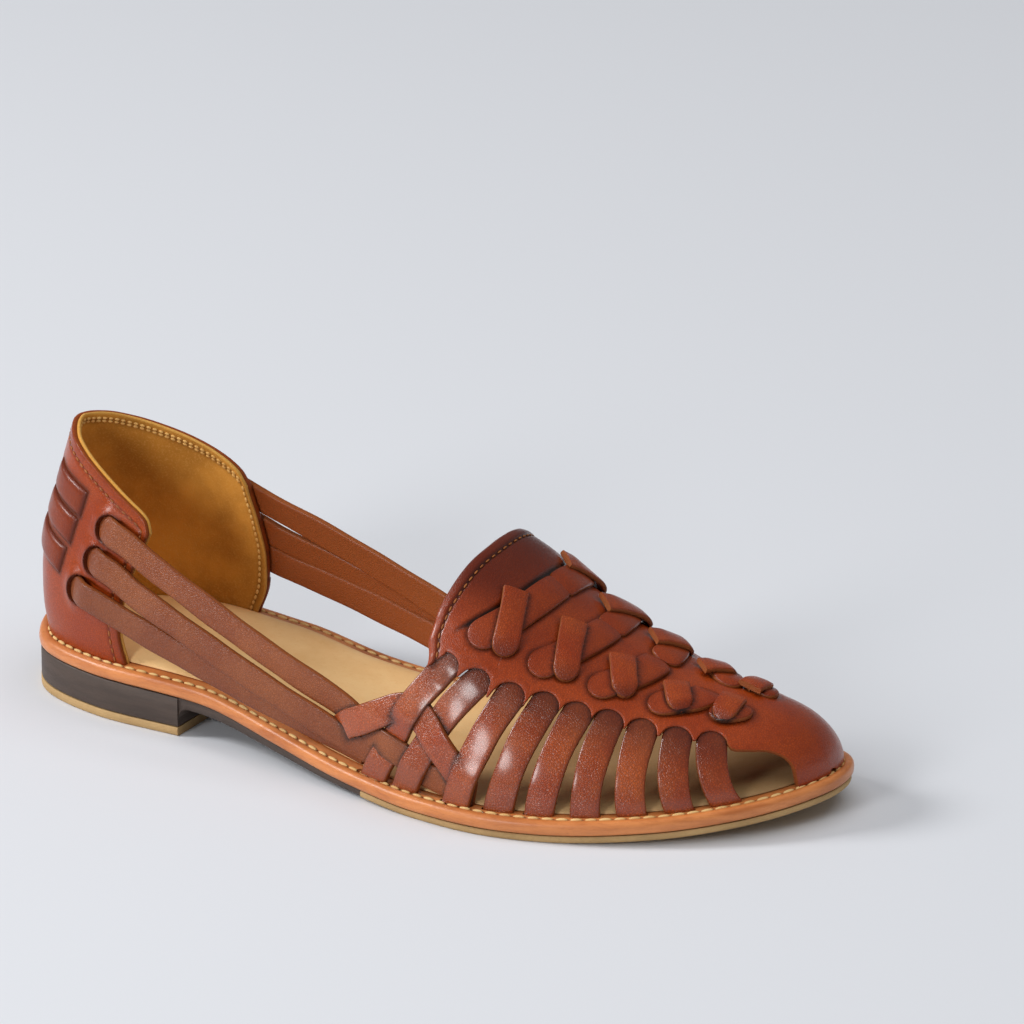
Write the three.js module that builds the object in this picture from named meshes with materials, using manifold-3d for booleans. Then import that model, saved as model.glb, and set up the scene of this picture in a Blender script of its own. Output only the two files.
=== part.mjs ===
// Woven leather slingback sandal, right foot, in millimetres.
// The heel's back is at x = 0, the toe points to +X, the outer side of the foot faces -Y,
// and the floor is z = 0. The whole shoe is centred over the origin at the end.
import * as THREE from 'three';
import Module from 'manifold-3d';

const wasm = await Module();
wasm.setup();

// Driving dimensions
const SOLE_LENGTH = 256;
const BALL_WIDTH = 96.8;
const HEEL_HEIGHT = 16.8;
const FOREFOOT_HEIGHT = 6.4;
const TOE_SPRING = 6.8;
const INSTEP_HEIGHT = 66.5;
const COUNTER_HEIGHT = 61;
const HEEL_LENGTH = 63.6;
const SHANK_END = 133.3;
const WELT_THICKNESS = 4.1;
const OUTSOLE_THICKNESS = 2;
const TOP_LIFT_THICKNESS = 2.6;
const INSOLE_THICKNESS = 2;
const SHANK_THICKNESS = 3.3;
const SEAT_GAP = 0.3;

// Leather sizes of the upper
const LAST_INSET = 6.2;
const STRIP_WIDTH = 8.4;
const STRIP_OVERRUN = 5;
const STRIP_THICKNESS = 1.8;
const APRON_LOW = 1.4;
const APRON_HIGH = 3.4;
const APRON_MIDDLE = 2.5;
const DIAGONAL_WIDTH = 9;
const TAB_WIDTH = 7.6;
const WEAVE_RAISE = 1.3;
const TAB_RAISE = 2.3;
const CUSP_DEPTH = 4.2;
const COUNTER_WALL = 2.6;
const STRAP_WIDTH = 7.6;
const INLAY_WIDTH = 6.5;
const INLAY_RUN = 11;
const INLAY_DROP = 4;
const INLAY_RAISE = 0.8;

// Sides of the shoe
const LATERAL = -1;
const MEDIAL = 1;
const SIDES = [LATERAL, MEDIAL];

// Rim of the welt, heel back to toe along the outer side and back along the inner side.
// along: percent of the sole's length, side: percent of the ball's width
const RIM_ROWS = [
  { along: 0, side: 1 },
  { along: 1.4, side: -11.3 },
  { along: 4.7, side: -22.5 },
  { along: 13.3, side: -31.3 },
  { along: 29.3, side: -33.8 },
  { along: 46.9, side: -44.8 },
  { along: 59.4, side: -51.9 },
  { along: 68.8, side: -52.9 },
  { along: 78.1, side: -46 },
  { along: 86.7, side: -34.1 },
  { along: 93.8, side: -18.6 },
  { along: 98.2, side: -2.6 },
  { along: 100, side: 12.4 },
  { along: 99, side: 25.8 },
  { along: 94.9, side: 36.2 },
  { along: 86.7, side: 42.1 },
  { along: 76.6, side: 46.7 },
  { along: 67.2, side: 46.5 },
  { along: 54.7, side: 37.7 },
  { along: 39.8, side: 30 },
  { along: 27.3, side: 32 },
  { along: 15.6, side: 34.3 },
  { along: 5.5, side: 25.8 },
  { along: 1.4, side: 13.4 },
];

// Top of the welt along the shoe: shares of the heel's rise and of the toe spring
const PROFILE_ROWS = [
  { along: 0, heel: 1, toe: 0 },
  { along: 15.6, heel: 0.98, toe: 0 },
  { along: 27.3, heel: 0.9, toe: 0 },
  { along: 39, heel: 0.5, toe: 0 },
  { along: 50.8, heel: 0.115, toe: 0 },
  { along: 60.5, heel: 0, toe: 0 },
  { along: 74.2, heel: 0, toe: 0 },
  { along: 85.9, heel: 0, toe: 0.226 },
  { along: 93.8, heel: 0, toe: 0.58 },
  { along: 100, heel: 0, toe: 1 },
];

// Sections of the last: ridge height as a share of the instep's, how far the ridge lies to the
// inner side as a percent of the ball's width, and the power of the section's rounded form
const LAST_ROWS = [
  { along: 15, ridge: 1.41, inward: 1, power: 2.2 },
  { along: 39, ridge: 1.27, inward: 0, power: 2.1 },
  { along: 46.9, ridge: 1.195, inward: 0.6, power: 2.05 },
  { along: 54.7, ridge: 1.065, inward: 1.3, power: 2 },
  { along: 61.3, ridge: 0.942, inward: 2.1, power: 2 },
  { along: 66, ridge: 0.8, inward: 2.5, power: 1.98 },
  { along: 71.1, ridge: 0.675, inward: 3.1, power: 1.97 },
  { along: 77.3, ridge: 0.562, inward: 4.2, power: 1.98 },
  { along: 83.6, ridge: 0.476, inward: 5.7, power: 2 },
  { along: 89.5, ridge: 0.446, inward: 8, power: 2 },
  { along: 93.8, ridge: 0.447, inward: 9.8, power: 2 },
  { along: 98.4, ridge: 0.443, inward: 12.9, power: 2 },
];
const TOE_ROUND_FROM = 84;
const TOE_ROUND_POWER = 2.4;
// Depth over which the wall runs on below the feather edge, at least
const LEAST_DEPTH = 8;

// Side strips: where each leaves the apron, how high up the last in degrees, and its foot
const STRIP_ROWS = [
  { top: 61.6, rise: 41.6, foot: 53.7 },
  { top: 65.3, rise: 43.9, foot: 58 },
  { top: 68.7, rise: 46.7, foot: 64.9 },
  { top: 72.1, rise: 49.8, foot: 69.7 },
  { top: 75.4, rise: 52, foot: 74.1 },
  { top: 78.5, rise: 53.9, foot: 78.8 },
  { top: 81.8, rise: 55.5, foot: 83.3 },
  { top: 85.3, rise: 54.8, foot: 87.6 },
  { top: 88.5, rise: 55.5, foot: 91.5 },
];

// Layers of the first three strips in the plait: lift above the last at each angle
const PLAIT_LIFTS = [
  [{ rise: 0, lift: 1.7 }, { rise: 4.5, lift: 1.7 }, { rise: 9.9, lift: 0 }, { rise: 14, lift: 0.4 },
    { rise: 20.3, lift: 1.6 }, { rise: 32, lift: 0 }],
  [{ rise: 0, lift: 1 }, { rise: 6.7, lift: 1.7 }, { rise: 9.9, lift: 1 }, { rise: 16.2, lift: 0 },
    { rise: 32, lift: 0 }],
  [{ rise: 0, lift: 1.2 }, { rise: 8.8, lift: 1.6 }, { rise: 17.2, lift: 0 }, { rise: 32, lift: 0 }],
];

// The loop thong that binds the sling straps into the first strips
const LOOP_ROWS = [
  { along: 48.1, rise: 6.8, lift: 0.2 },
  { along: 49.7, rise: 9.9, lift: 1.6 },
  { along: 51.5, rise: 12.5, lift: 2 },
  { along: 54.1, rise: 16.9, lift: 1.7 },
  { along: 56.5, rise: 20.8, lift: 0.3 },
  { along: 58.5, rise: 21.5, lift: 0.2 },
  { along: 60, rise: 20.2, lift: 0.8 },
  { along: 62, rise: 16.2, lift: 1.7 },
  { along: 64, rise: 11.6, lift: 0.5 },
  { along: 65.4, rise: 8, lift: 0 },
];

// Sling straps: slot in the counter, then the centre line where the strap meets the last again.
// Between the counter's wing and the front each strap is taut, bowed a little outward.
const STRAP_ROWS = [
  {
    slot: { along: 13.9, height: 54.4 },
    front: [
      { along: 48.6, rise: 12.7, lift: 0.3 },
      { along: 52.3, rise: 10.3, lift: 0.3 },
      { along: 55.9, rise: 9.6, lift: 1.6 },
      { along: 58.1, rise: 8.4, lift: 0.8 },
      { along: 60.7, rise: 5.9, lift: 0 },
      { along: 64.1, rise: 4.9, lift: 0 },
      { along: 66.9, rise: 4.3, lift: 0 },
    ],
  },
  {
    slot: { along: 12.7, height: 44.8 },
    front: [
      { along: 48.6, rise: 6.2, lift: 1.6 },
      { along: 50.9, rise: 5.5, lift: 0.6 },
      { along: 53.7, rise: 5.1, lift: 0 },
    ],
  },
  {
    slot: { along: 10.6, height: 35.5 },
    front: [
      { along: 48.6, rise: 4.4, lift: 0 },
      { along: 51.7, rise: 4.5, lift: 0 },
    ],
  },
];
const STRAP_SHARES = [0.25, 0.5, 0.75];
const STRAP_BOW = 1.5;
const SLOT_TAIL = 7;
const SLOT_RUN = 6;
const WING_CLEAR = 5;
const STRAP_REST = 0.6;
const SLOT_ENDS = [{ low: 0.7, high: 1.6 }, { low: 1.2, high: 2.2 }, { low: 2, high: 3.4 }];

// Weave of the apron: each diagonal thong, and the tab that crosses over it
const WEAVE_ROWS = [
  { start: 62.4, startRise: 48, end: 65.9, endRise: 92, foot: 66.1, footRise: 51.6, head: 63.6, headRise: 72 },
  { start: 68.8, startRise: 53.5, end: 72.3, endRise: 92, foot: 72.6, footRise: 56.3, head: 69.6, headRise: 79 },
  { start: 75, startRise: 58, end: 78.6, endRise: 90, foot: 78.7, footRise: 61.3, head: 75.7, headRise: 78 },
  { start: 80.9, startRise: 63.4, end: 85.6, endRise: 84, foot: 84.8, footRise: 63, head: 82, headRise: 78.8 },
  { start: 87, startRise: 68, end: 89.8, endRise: 80, foot: 88.6, footRise: 62.5, head: 88.3, headRise: 82 },
];
// How early each diagonal turns across, the share of its ends that ramps down, and how much of
// a half wave a tab's back follows
const DIAGONAL_BEND = 2.6;
const RAMP_SHARE = 0.2;
const TAB_WAVE = { from: 0.08, to: 0.92 };

// Throat edge of the apron by height, and the toe cap's edge round the side cut-out
const THROAT_ROWS = [
  { rise: 30, along: 60.2 },
  { rise: 35, along: 59.4 },
  { rise: 43, along: 58.1 },
  { rise: 50, along: 58 },
  { rise: 59, along: 58.1 },
  { rise: 70, along: 58.3 },
  { rise: 81, along: 58.7 },
  { rise: 90, along: 58.8 },
];
const THROAT_FADE = 12;
const THROAT_FADE_POWER = 1.5;
const THROAT_CORNER = 1.25;
const THROAT_CORNER_DROP = 2;
const CUTOUT_ROWS = [
  { along: 90.3, rise: 51.3 },
  { along: 91.1, rise: 43.9 },
  { along: 92.6, rise: 45 },
  { along: 93.8, rise: 46.5 },
  { along: 94.8, rise: 44.3 },
  { along: 95.5, rise: 38.5 },
  { along: 95.9, rise: 29 },
  { along: 96.15, rise: 13 },
  { along: 96.4, rise: -16 },
];

// Heel counter by share of its height: width and lean against the welt's outline, and how far
// forward each wing reaches, as percents of the sole's length
const COUNTER_ROWS = [
  { rise: 0, width: 1, lean: -1, lateral: 17.1, medial: 21.2 },
  { rise: 0.15, width: 1.02, lean: -2.8, lateral: 16.6, medial: 22.5 },
  { rise: 0.3, width: 1, lean: -3.2, lateral: 16.9, medial: 22.7 },
  { rise: 0.5, width: 0.91, lean: -1.8, lateral: 18.1, medial: 22.2 },
  { rise: 0.7, width: 0.81, lean: 1.6, lateral: 19.3, medial: 21.3 },
  { rise: 1, width: 0.69, lean: 7.5, lateral: 19.3, medial: 21.3 },
];
const COUNTER_LEAN_END = 25;
// The inner wing draws in more than the outer one
const MEDIAL_DRAW = 0.08;
// Collar line of each side: share of the counter's height from the heel's back to a wing's front
const COLLAR_ROWS = [
  { round: 0, lateral: 1, medial: 1 },
  { round: 0.2, lateral: 0.985, medial: 0.977 },
  { round: 0.35, lateral: 0.962, medial: 0.946 },
  { round: 0.48, lateral: 0.926, medial: 0.921 },
  { round: 0.663, lateral: 0.864, medial: 0.885 },
  { round: 0.843, lateral: 0.791, medial: 0.835 },
  { round: 0.96, lateral: 0.734, medial: 0.78 },
  { round: 1, lateral: 0.677, medial: 0.72 },
];
// Woven inlays at the heel's back, each by its middle
const INLAY_ROWS = [
  { along: 7.6, height: 61.8 },
  { along: 6.5, height: 53.3 },
  { along: 5.2, height: 44.1 },
];
const INLAY_CROWN = 0.9;

// Edges of the sole's layers: how far in from the rim, and how high above the layer's underside
const WELT_RINGS = [
  { inset: 0.9, above: 0 },
  { inset: 0.2, above: 0.7 },
  { inset: 0, above: 2.3 },
  { inset: 0.4, above: 3.4 },
  { inset: 1.4, above: WELT_THICKNESS },
];
const INSOLE_INSET = LAST_INSET + SEAT_GAP;
const INSOLE_RINGS = [
  { inset: INSOLE_INSET, above: 0 },
  { inset: INSOLE_INSET, above: 1.5 },
  { inset: INSOLE_INSET + 0.6, above: INSOLE_THICKNESS },
];
const OUTSOLE_RINGS = [
  { inset: 1.3, above: 0 },
  { inset: 0.7, above: 0.6 },
  { inset: 0.7, above: OUTSOLE_THICKNESS },
];
const TOP_LIFT_RINGS = [
  { inset: 0.8, above: 0 },
  { inset: 0.4, above: 0.6 },
  { inset: 0.4, above: TOP_LIFT_THICKNESS },
];
const BLOCK_INSET = 0.5;
const SHANK_INSET = 1.1;
const SHANK_LAP = 1;

// Fineness of the solids
const RIM_STATIONS = 28;
const SHEET_STEPS = 10;
const STRIP_STEPS = 6;
const TAB_STEPS = 4;
const INLAY_STEPS = 4;
const RIM_SAMPLES = 16;
const COUNTER_TURN_STEPS = 22;
const COUNTER_RISE_STEPS = 5;
const ARCH_SHARES = [0, 0.35, 0.5, 0.65];
const LAST_ARCH_SHARES = [0, 0.5];
const TIP_SHARES = [0.4, 0.7, 0.9, 1];
const CORNER_SHARE = 0.4;
const HALVINGS = 24;
// Reach of the space under the upper's feet, past the rim and below the floor
const UNDER_MARGIN = 12;
const UNDER_DEPTH = 20;

const sideName = (side) => (side === LATERAL ? 'lateral' : 'medial');
const along = (percent) => (percent / 100) * SOLE_LENGTH;
const across = (percent) => (percent / 100) * BALL_WIDTH;
const radians = THREE.MathUtils.degToRad;
const mix = THREE.MathUtils.lerp;

// Monotone cubic through a table's rows, read by one column and giving another
function smooth(rows, key, column, value) {
  const end = rows.length - 1;
  const at = THREE.MathUtils.clamp(value, rows[0][key], rows[end][key]);
  let i = 0;
  while (i < end - 1 && at > rows[i + 1][key]) i += 1;
  const grade = (k) => (rows[k + 1][column] - rows[k][column]) / (rows[k + 1][key] - rows[k][key]);
  const slope = (k) => {
    if (k === 0) return grade(0);
    if (k === end) return grade(end - 1);
    const before = grade(k - 1);
    const after = grade(k);
    return before * after <= 0 ? 0 : (2 * before * after) / (before + after);
  };
  const span = rows[i + 1][key] - rows[i][key];
  const t = (at - rows[i][key]) / span;
  const near = rows[i][column] * (1 + 2 * t) * (1 - t) ** 2 + slope(i) * span * t * (1 - t) ** 2;
  const far = rows[i + 1][column] * t ** 2 * (3 - 2 * t) - slope(i + 1) * span * t ** 2 * (1 - t);
  return near + far;
}

// Height of the welt's top at a station
function weltTop(x) {
  const percent = (x / SOLE_LENGTH) * 100;
  const heel = smooth(PROFILE_ROWS, 'along', 'heel', percent);
  const toe = smooth(PROFILE_ROWS, 'along', 'toe', percent);
  return FOREFOOT_HEIGHT + (HEEL_HEIGHT - FOREFOOT_HEIGHT) * heel + TOE_SPRING * toe;
}

// Rim curve, and the same curve moved inward, split into its outer and inner side
const rimCurve = new THREE.CatmullRomCurve3(
  RIM_ROWS.map((row) => new THREE.Vector3(along(row.along), across(row.side), 0)),
  true,
  'centripetal',
);
const rimPoints = rimCurve.getPoints(RIM_ROWS.length * RIM_SAMPLES).slice(0, -1);
const sideCache = new Map();
function rimSides(inset) {
  if (sideCache.has(inset)) return sideCache.get(inset);
  const count = rimPoints.length;
  const moved = rimPoints.map((point, i) => {
    const tangent = rimPoints[(i + 1) % count].clone().sub(rimPoints[(i + count - 1) % count]);
    tangent.normalize();
    return new THREE.Vector3(point.x - tangent.y * inset, point.y + tangent.x * inset, 0);
  });
  let heel = 0;
  let toe = 0;
  moved.forEach((point, i) => {
    if (point.x < moved[heel].x) heel = i;
    if (point.x > moved[toe].x) toe = i;
  });
  const turned = [...moved.slice(heel), ...moved.slice(0, heel)];
  const turn = (toe - heel + count) % count;
  const sides = {
    [LATERAL]: turned.slice(0, turn + 1),
    [MEDIAL]: [...turned.slice(turn), turned[0]].reverse(),
    heel: turned[0],
    toe: turned[turn],
  };
  sideCache.set(inset, sides);
  return sides;
}

// Half outline at a station on one side
function sideAt(x, inset, side) {
  const points = rimSides(inset)[side];
  let i = 0;
  while (i < points.length - 2 && points[i + 1].x < x) i += 1;
  const t = THREE.MathUtils.clamp((x - points[i].x) / (points[i + 1].x - points[i].x), 0, 1);
  return mix(points[i].y, points[i + 1].y, t);
}

// Closed solid from corners and faces: equal corners are merged, folded faces dropped
function solidOf(points, faces) {
  const index = new Map();
  const corners = [];
  const numbers = points.map((point) => {
    const key = point.toArray().map((value) => Math.round(value * 1e4)).join(' ');
    if (!index.has(key)) {
      index.set(key, corners.length / 3);
      corners.push(point.x, point.y, point.z);
    }
    return index.get(key);
  });
  const triangles = faces
    .map((face) => face.map((corner) => numbers[corner]))
    .filter(([a, b, c]) => a !== b && b !== c && c !== a);
  const corner = (i) => new THREE.Vector3().fromArray(corners, i * 3);
  const volume = triangles.reduce((sum, [a, b, c]) => sum + corner(a).dot(corner(b).cross(corner(c))), 0);
  const outward = volume < 0 ? triangles.map(([a, b, c]) => [a, c, b]) : triangles;
  return new wasm.Manifold(
    new wasm.Mesh({
      numProp: 3,
      vertProperties: new Float32Array(corners),
      triVerts: new Uint32Array(outward.flat()),
    }),
  );
}

const quad = (a, b, c, d) => [[a, b, c], [a, c, d]];

// Layer of the sole: rings from bottom to top, each an inset outline with its own height,
// closed across the shoe from the outer side to the inner side
function soleLayer(rings, from, to) {
  const points = [];
  const faces = [];
  const size = 2 * (RIM_STATIONS + 1);
  rings.forEach(({ inset, height }) => {
    const { heel, toe } = rimSides(inset);
    const start = from ?? heel.x;
    const end = to ?? toe.x;
    const station = (i) => {
      const t = i / RIM_STATIONS;
      const low = from === undefined ? 1 - Math.cos((t * Math.PI) / 2) : t;
      const high = to === undefined ? Math.sin((t * Math.PI) / 2) : t;
      return mix(start, end, mix(low, high, t));
    };
    const edge = (i, side) => {
      const x = station(i);
      return new THREE.Vector3(x, sideAt(x, inset, side), height(x));
    };
    for (let i = 0; i <= RIM_STATIONS; i += 1) points.push(edge(i, LATERAL));
    for (let i = RIM_STATIONS; i >= 0; i -= 1) points.push(edge(i, MEDIAL));
  });
  for (let ring = 0; ring + 1 < rings.length; ring += 1) {
    for (let i = 0; i < size; i += 1) {
      const next = (i + 1) % size;
      faces.push(...quad(ring * size + i, ring * size + next, (ring + 1) * size + next, (ring + 1) * size + i));
    }
  }
  const top = (rings.length - 1) * size;
  for (let i = 0; i < RIM_STATIONS; i += 1) {
    const mate = size - 1 - i;
    faces.push(...quad(i, mate, mate - 1, i + 1));
    faces.push(...quad(top + i, top + i + 1, top + mate - 1, top + mate));
  }
  return solidOf(points, faces);
}

// Point of the last at a station and an angle: 0 at the outer feather edge, 180 at the inner.
// Past the feather edges the wall runs straight down.
const lastTip = rimSides(LAST_INSET).toe.x;
function lastPoint(x, degrees) {
  const percent = (x / SOLE_LENGTH) * 100;
  const read = (column) => smooth(LAST_ROWS, 'along', column, percent);
  const base = weltTop(x);
  const toe = THREE.MathUtils.clamp((x - along(TOE_ROUND_FROM)) / (lastTip - along(TOE_ROUND_FROM)), 0, 1);
  const rounding = (1 - toe ** TOE_ROUND_POWER) ** (1 / TOE_ROUND_POWER);
  const height = (INSTEP_HEIGHT * read('ridge') - base) * rounding;
  const outer = sideAt(x, LAST_INSET, LATERAL);
  const inner = sideAt(x, LAST_INSET, MEDIAL);
  const ridge = THREE.MathUtils.clamp(across(read('inward')), outer, inner);
  const angle = radians(THREE.MathUtils.clamp(degrees, 0, 180));
  const below = radians(Math.min(degrees, 180 - degrees, 0));
  const power = 2 / read('power');
  const half = degrees <= 90 ? outer - ridge : inner - ridge;
  const y = ridge + half * Math.abs(Math.cos(angle)) ** power;
  const z = base + height * Math.max(Math.sin(angle), 0) ** power + Math.max(height, LEAST_DEPTH) * below;
  return new THREE.Vector3(x, y, z);
}

// Outward direction of a surface given as a function of two values
function outwardOf(surface, u, v, stepU, stepV) {
  const du = surface(u + stepU, v).sub(surface(u - stepU, v));
  const dv = surface(u, v + stepV).sub(surface(u, v - stepV));
  return du.cross(dv).normalize();
}

function lastNormal(x, degrees) {
  const level = THREE.MathUtils.clamp(degrees, 1, 179);
  return outwardOf(lastPoint, Math.min(x, lastTip - 0.1), level, 0.05, 0.5);
}

// Place on the last with its outward direction, mirrored to the inner side if asked
function onLast(x, degrees, side, lift = 0) {
  const level = side === LATERAL ? degrees : 180 - degrees;
  const normal = lastNormal(x, level);
  return { point: lastPoint(x, level).addScaledVector(normal, lift), normal };
}

// Flat thong along places, each with its outward direction, low and high side
function thong(places, width) {
  const points = [];
  const faces = [];
  places.forEach((place, i) => {
    const before = places[Math.max(i - 1, 0)].point;
    const after = places[Math.min(i + 1, places.length - 1)].point;
    const tangent = after.clone().sub(before).normalize();
    const normal = place.normal.clone().addScaledVector(tangent, -place.normal.dot(tangent)).normalize();
    const cross = normal.clone().cross(tangent);
    [[-1, place.low], [1, place.low], [1, place.high], [-1, place.high]].forEach(([hand, level]) => {
      points.push(place.point.clone().addScaledVector(cross, (hand * width) / 2).addScaledVector(normal, level));
    });
  });
  for (let i = 0; i + 1 < places.length; i += 1) {
    for (let k = 0; k < 4; k += 1) {
      const next = (k + 1) % 4;
      faces.push(...quad(i * 4 + k, i * 4 + next, i * 4 + 4 + next, i * 4 + 4 + k));
    }
  }
  const end = (places.length - 1) * 4;
  faces.push(...quad(3, 2, 1, 0), ...quad(end, end + 1, end + 2, end + 3));
  return solidOf(points, faces);
}

// Sheet between two lifts over a grid of columns and rows
function sheet(columns, rows, placeAt, low, high) {
  const points = [];
  const faces = [];
  const layer = (columns + 1) * (rows + 1);
  [low, high].forEach((lift) => {
    for (let i = 0; i <= columns; i += 1) {
      for (let j = 0; j <= rows; j += 1) {
        const { point, normal } = placeAt(i, j);
        points.push(point.clone().addScaledVector(normal, lift));
      }
    }
  });
  const at = (i, j) => i * (rows + 1) + j;
  for (let i = 0; i < columns; i += 1) {
    for (let j = 0; j < rows; j += 1) {
      const face = [at(i, j), at(i + 1, j), at(i + 1, j + 1), at(i, j + 1)];
      faces.push(...quad(...face.map((corner) => corner + layer)), ...quad(...face.reverse()));
    }
  }
  const wall = (a, b) => faces.push(...quad(a, b, b + layer, a + layer));
  for (let i = 0; i < columns; i += 1) {
    wall(at(i, 0), at(i + 1, 0));
    wall(at(i + 1, rows), at(i, rows));
  }
  for (let j = 0; j < rows; j += 1) {
    wall(at(0, j + 1), at(0, j));
    wall(at(columns, j), at(columns, j + 1));
  }
  return solidOf(points, faces);
}

// Lower edge of the apron: arches over the strips with cusps between them, then the toe cap
const lastStrip = STRIP_ROWS.length - 1;
const firstPitch = STRIP_ROWS[1].top - STRIP_ROWS[0].top;
const archRows = [
  { top: STRIP_ROWS[0].top - THROAT_CORNER * firstPitch, rise: STRIP_ROWS[0].rise - THROAT_CORNER_DROP },
  ...STRIP_ROWS,
  { top: 2 * CUTOUT_ROWS[0].along - STRIP_ROWS[lastStrip].top, rise: STRIP_ROWS[lastStrip].rise },
];
function apronEdge(percent) {
  if (percent >= CUTOUT_ROWS[0].along) return smooth(CUTOUT_ROWS, 'along', 'rise', percent);
  let k = 0;
  while (k < archRows.length - 2 && percent > archRows[k + 1].top) k += 1;
  const t = THREE.MathUtils.clamp((percent - archRows[k].top) / (archRows[k + 1].top - archRows[k].top), 0, 1);
  const near = 2 * Math.min(t, 1 - t);
  return mix(archRows[k].rise, archRows[k + 1].rise, t) - CUSP_DEPTH * (1 - Math.sqrt(1 - near ** 2));
}

// Stations of the apron's columns: the throat corner, each arch, and the toe cap to its tip
function apronStations() {
  const corner = (archRows[0].top + archRows[1].top) / 2;
  const stations = [corner, mix(corner, archRows[1].top, CORNER_SHARE)];
  for (let k = 1; k + 1 < archRows.length; k += 1) {
    const { top } = archRows[k];
    const pitch = archRows[k + 1].top - top;
    const shares = k + 2 < archRows.length ? ARCH_SHARES : LAST_ARCH_SHARES;
    shares.forEach((share) => stations.push(top + share * pitch));
  }
  CUTOUT_ROWS.forEach((row) => stations.push(row.along));
  const tip = (lastTip / SOLE_LENGTH) * 100;
  const cap = CUTOUT_ROWS[CUTOUT_ROWS.length - 1].along;
  TIP_SHARES.forEach((share) => stations.push(mix(cap, tip, share)));
  return stations;
}

function apronSheet() {
  const stations = apronStations();
  const final = stations.length - 1;
  const placeAt = (i, j) => {
    const percent = stations[i];
    const edge = apronEdge(percent);
    const degrees = mix(edge, 180 - edge, j / SHEET_STEPS);
    if (i === final) {
      return { point: lastPoint(lastTip, 0), normal: new THREE.Vector3(1, 0, 0) };
    }
    const rise = Math.min(degrees, 180 - degrees);
    const fade = Math.max(1 - (percent - stations[0]) / THROAT_FADE, 0) ** THROAT_FADE_POWER;
    const shift = (smooth(THROAT_ROWS, 'rise', 'along', rise) - stations[0]) * fade;
    return onLast(along(percent + shift), degrees, LATERAL);
  };
  return sheet(final, SHEET_STEPS, placeAt, APRON_LOW, APRON_HIGH);
}

// One side strip, from under the apron down past the feather edge
function sideStrip(k, side) {
  const row = STRIP_ROWS[k];
  const lifts = PLAIT_LIFTS[k];
  const places = [];
  for (let i = 0; i <= STRIP_STEPS; i += 1) {
    const rise = mix(row.rise + STRIP_OVERRUN, -STRIP_OVERRUN, i / STRIP_STEPS);
    const percent = mix(row.foot, row.top, rise / row.rise);
    const lift = lifts ? smooth(lifts, 'rise', 'lift', rise) : 0;
    places.push({ ...onLast(along(percent), rise, side), low: lift, high: lift + STRIP_THICKNESS });
  }
  return thong(places, STRIP_WIDTH);
}

// Diagonal thong of the apron's weave, and the tab that crosses over it
function weaveDiagonal(row, side) {
  const places = [];
  const top = APRON_HIGH + WEAVE_RAISE;
  for (let i = 0; i <= STRIP_STEPS; i += 1) {
    const t = i / STRIP_STEPS;
    const percent = mix(row.start, row.end, 1 - (1 - t) ** DIAGONAL_BEND);
    const rise = mix(row.startRise, row.endRise, t);
    const high = mix(APRON_HIGH, top, Math.min(t / RAMP_SHARE, (1 - t) / RAMP_SHARE, 1));
    places.push({ ...onLast(along(percent), rise, side), low: APRON_MIDDLE, high });
  }
  return thong(places, DIAGONAL_WIDTH);
}

function weaveTab(row, side) {
  const places = [];
  for (let i = 0; i <= TAB_STEPS; i += 1) {
    const t = i / TAB_STEPS;
    const percent = mix(row.foot, row.head, t);
    const rise = mix(row.footRise, row.headRise, t);
    const high = APRON_HIGH + TAB_RAISE * Math.sin(Math.PI * mix(TAB_WAVE.from, TAB_WAVE.to, t)) ** 0.5;
    places.push({ ...onLast(along(percent), rise, side), low: APRON_MIDDLE, high });
  }
  return thong(places, TAB_WIDTH);
}

// Loop thong of the plait
function plaitLoop(side) {
  const places = LOOP_ROWS.map((row) => ({
    ...onLast(along(row.along), row.rise, side),
    low: row.lift,
    high: row.lift + STRIP_THICKNESS,
  }));
  return thong(places, STRIP_WIDTH);
}

// Heel counter: arc length round the inset rim from the heel's back
function heelArc(side) {
  const points = rimSides(LAST_INSET)[side];
  let length = 0;
  return points.map((point, i) => {
    if (i > 0) length += point.distanceTo(points[i - 1]);
    return { x: point.x, y: point.y, length };
  });
}
const heelArcs = { [LATERAL]: heelArc(LATERAL), [MEDIAL]: heelArc(MEDIAL) };
const heelMiddle = rimSides(LAST_INSET).heel.y;

// Point of the counter's inner face: round runs from -1 at the outer wing to 1 at the inner
function counterPoint(round, rise) {
  const side = round < 0 ? LATERAL : MEDIAL;
  const arc = heelArcs[side];
  const reach = along(smooth(COUNTER_ROWS, 'rise', sideName(side), rise));
  const wing = arc.findIndex((point) => point.x > reach);
  const share = (reach - arc[wing - 1].x) / (arc[wing].x - arc[wing - 1].x);
  const length = Math.abs(round) * mix(arc[wing - 1].length, arc[wing].length, share);
  let i = 0;
  while (arc[i + 1].length < length) i += 1;
  const t = (length - arc[i].length) / (arc[i + 1].length - arc[i].length);
  const x = mix(arc[i].x, arc[i + 1].x, t);
  const y = mix(arc[i].y, arc[i + 1].y, t);
  const draw = Math.max(round, 0) * MEDIAL_DRAW * rise;
  const width = smooth(COUNTER_ROWS, 'rise', 'width', rise) - draw;
  const lean = smooth(COUNTER_ROWS, 'rise', 'lean', rise) * Math.max(1 - x / along(COUNTER_LEAN_END), 0);
  const base = weltTop(x) + SEAT_GAP;
  return new THREE.Vector3(x + lean, heelMiddle + (y - heelMiddle) * width, base + rise * COUNTER_HEIGHT);
}

function onCounter(round, rise) {
  const level = THREE.MathUtils.clamp(rise, 0.01, 1.2);
  const spot = THREE.MathUtils.clamp(round, -0.99, 0.99);
  return { point: counterPoint(round, rise), normal: outwardOf(counterPoint, spot, level, 0.01, 0.01).negate() };
}

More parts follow.
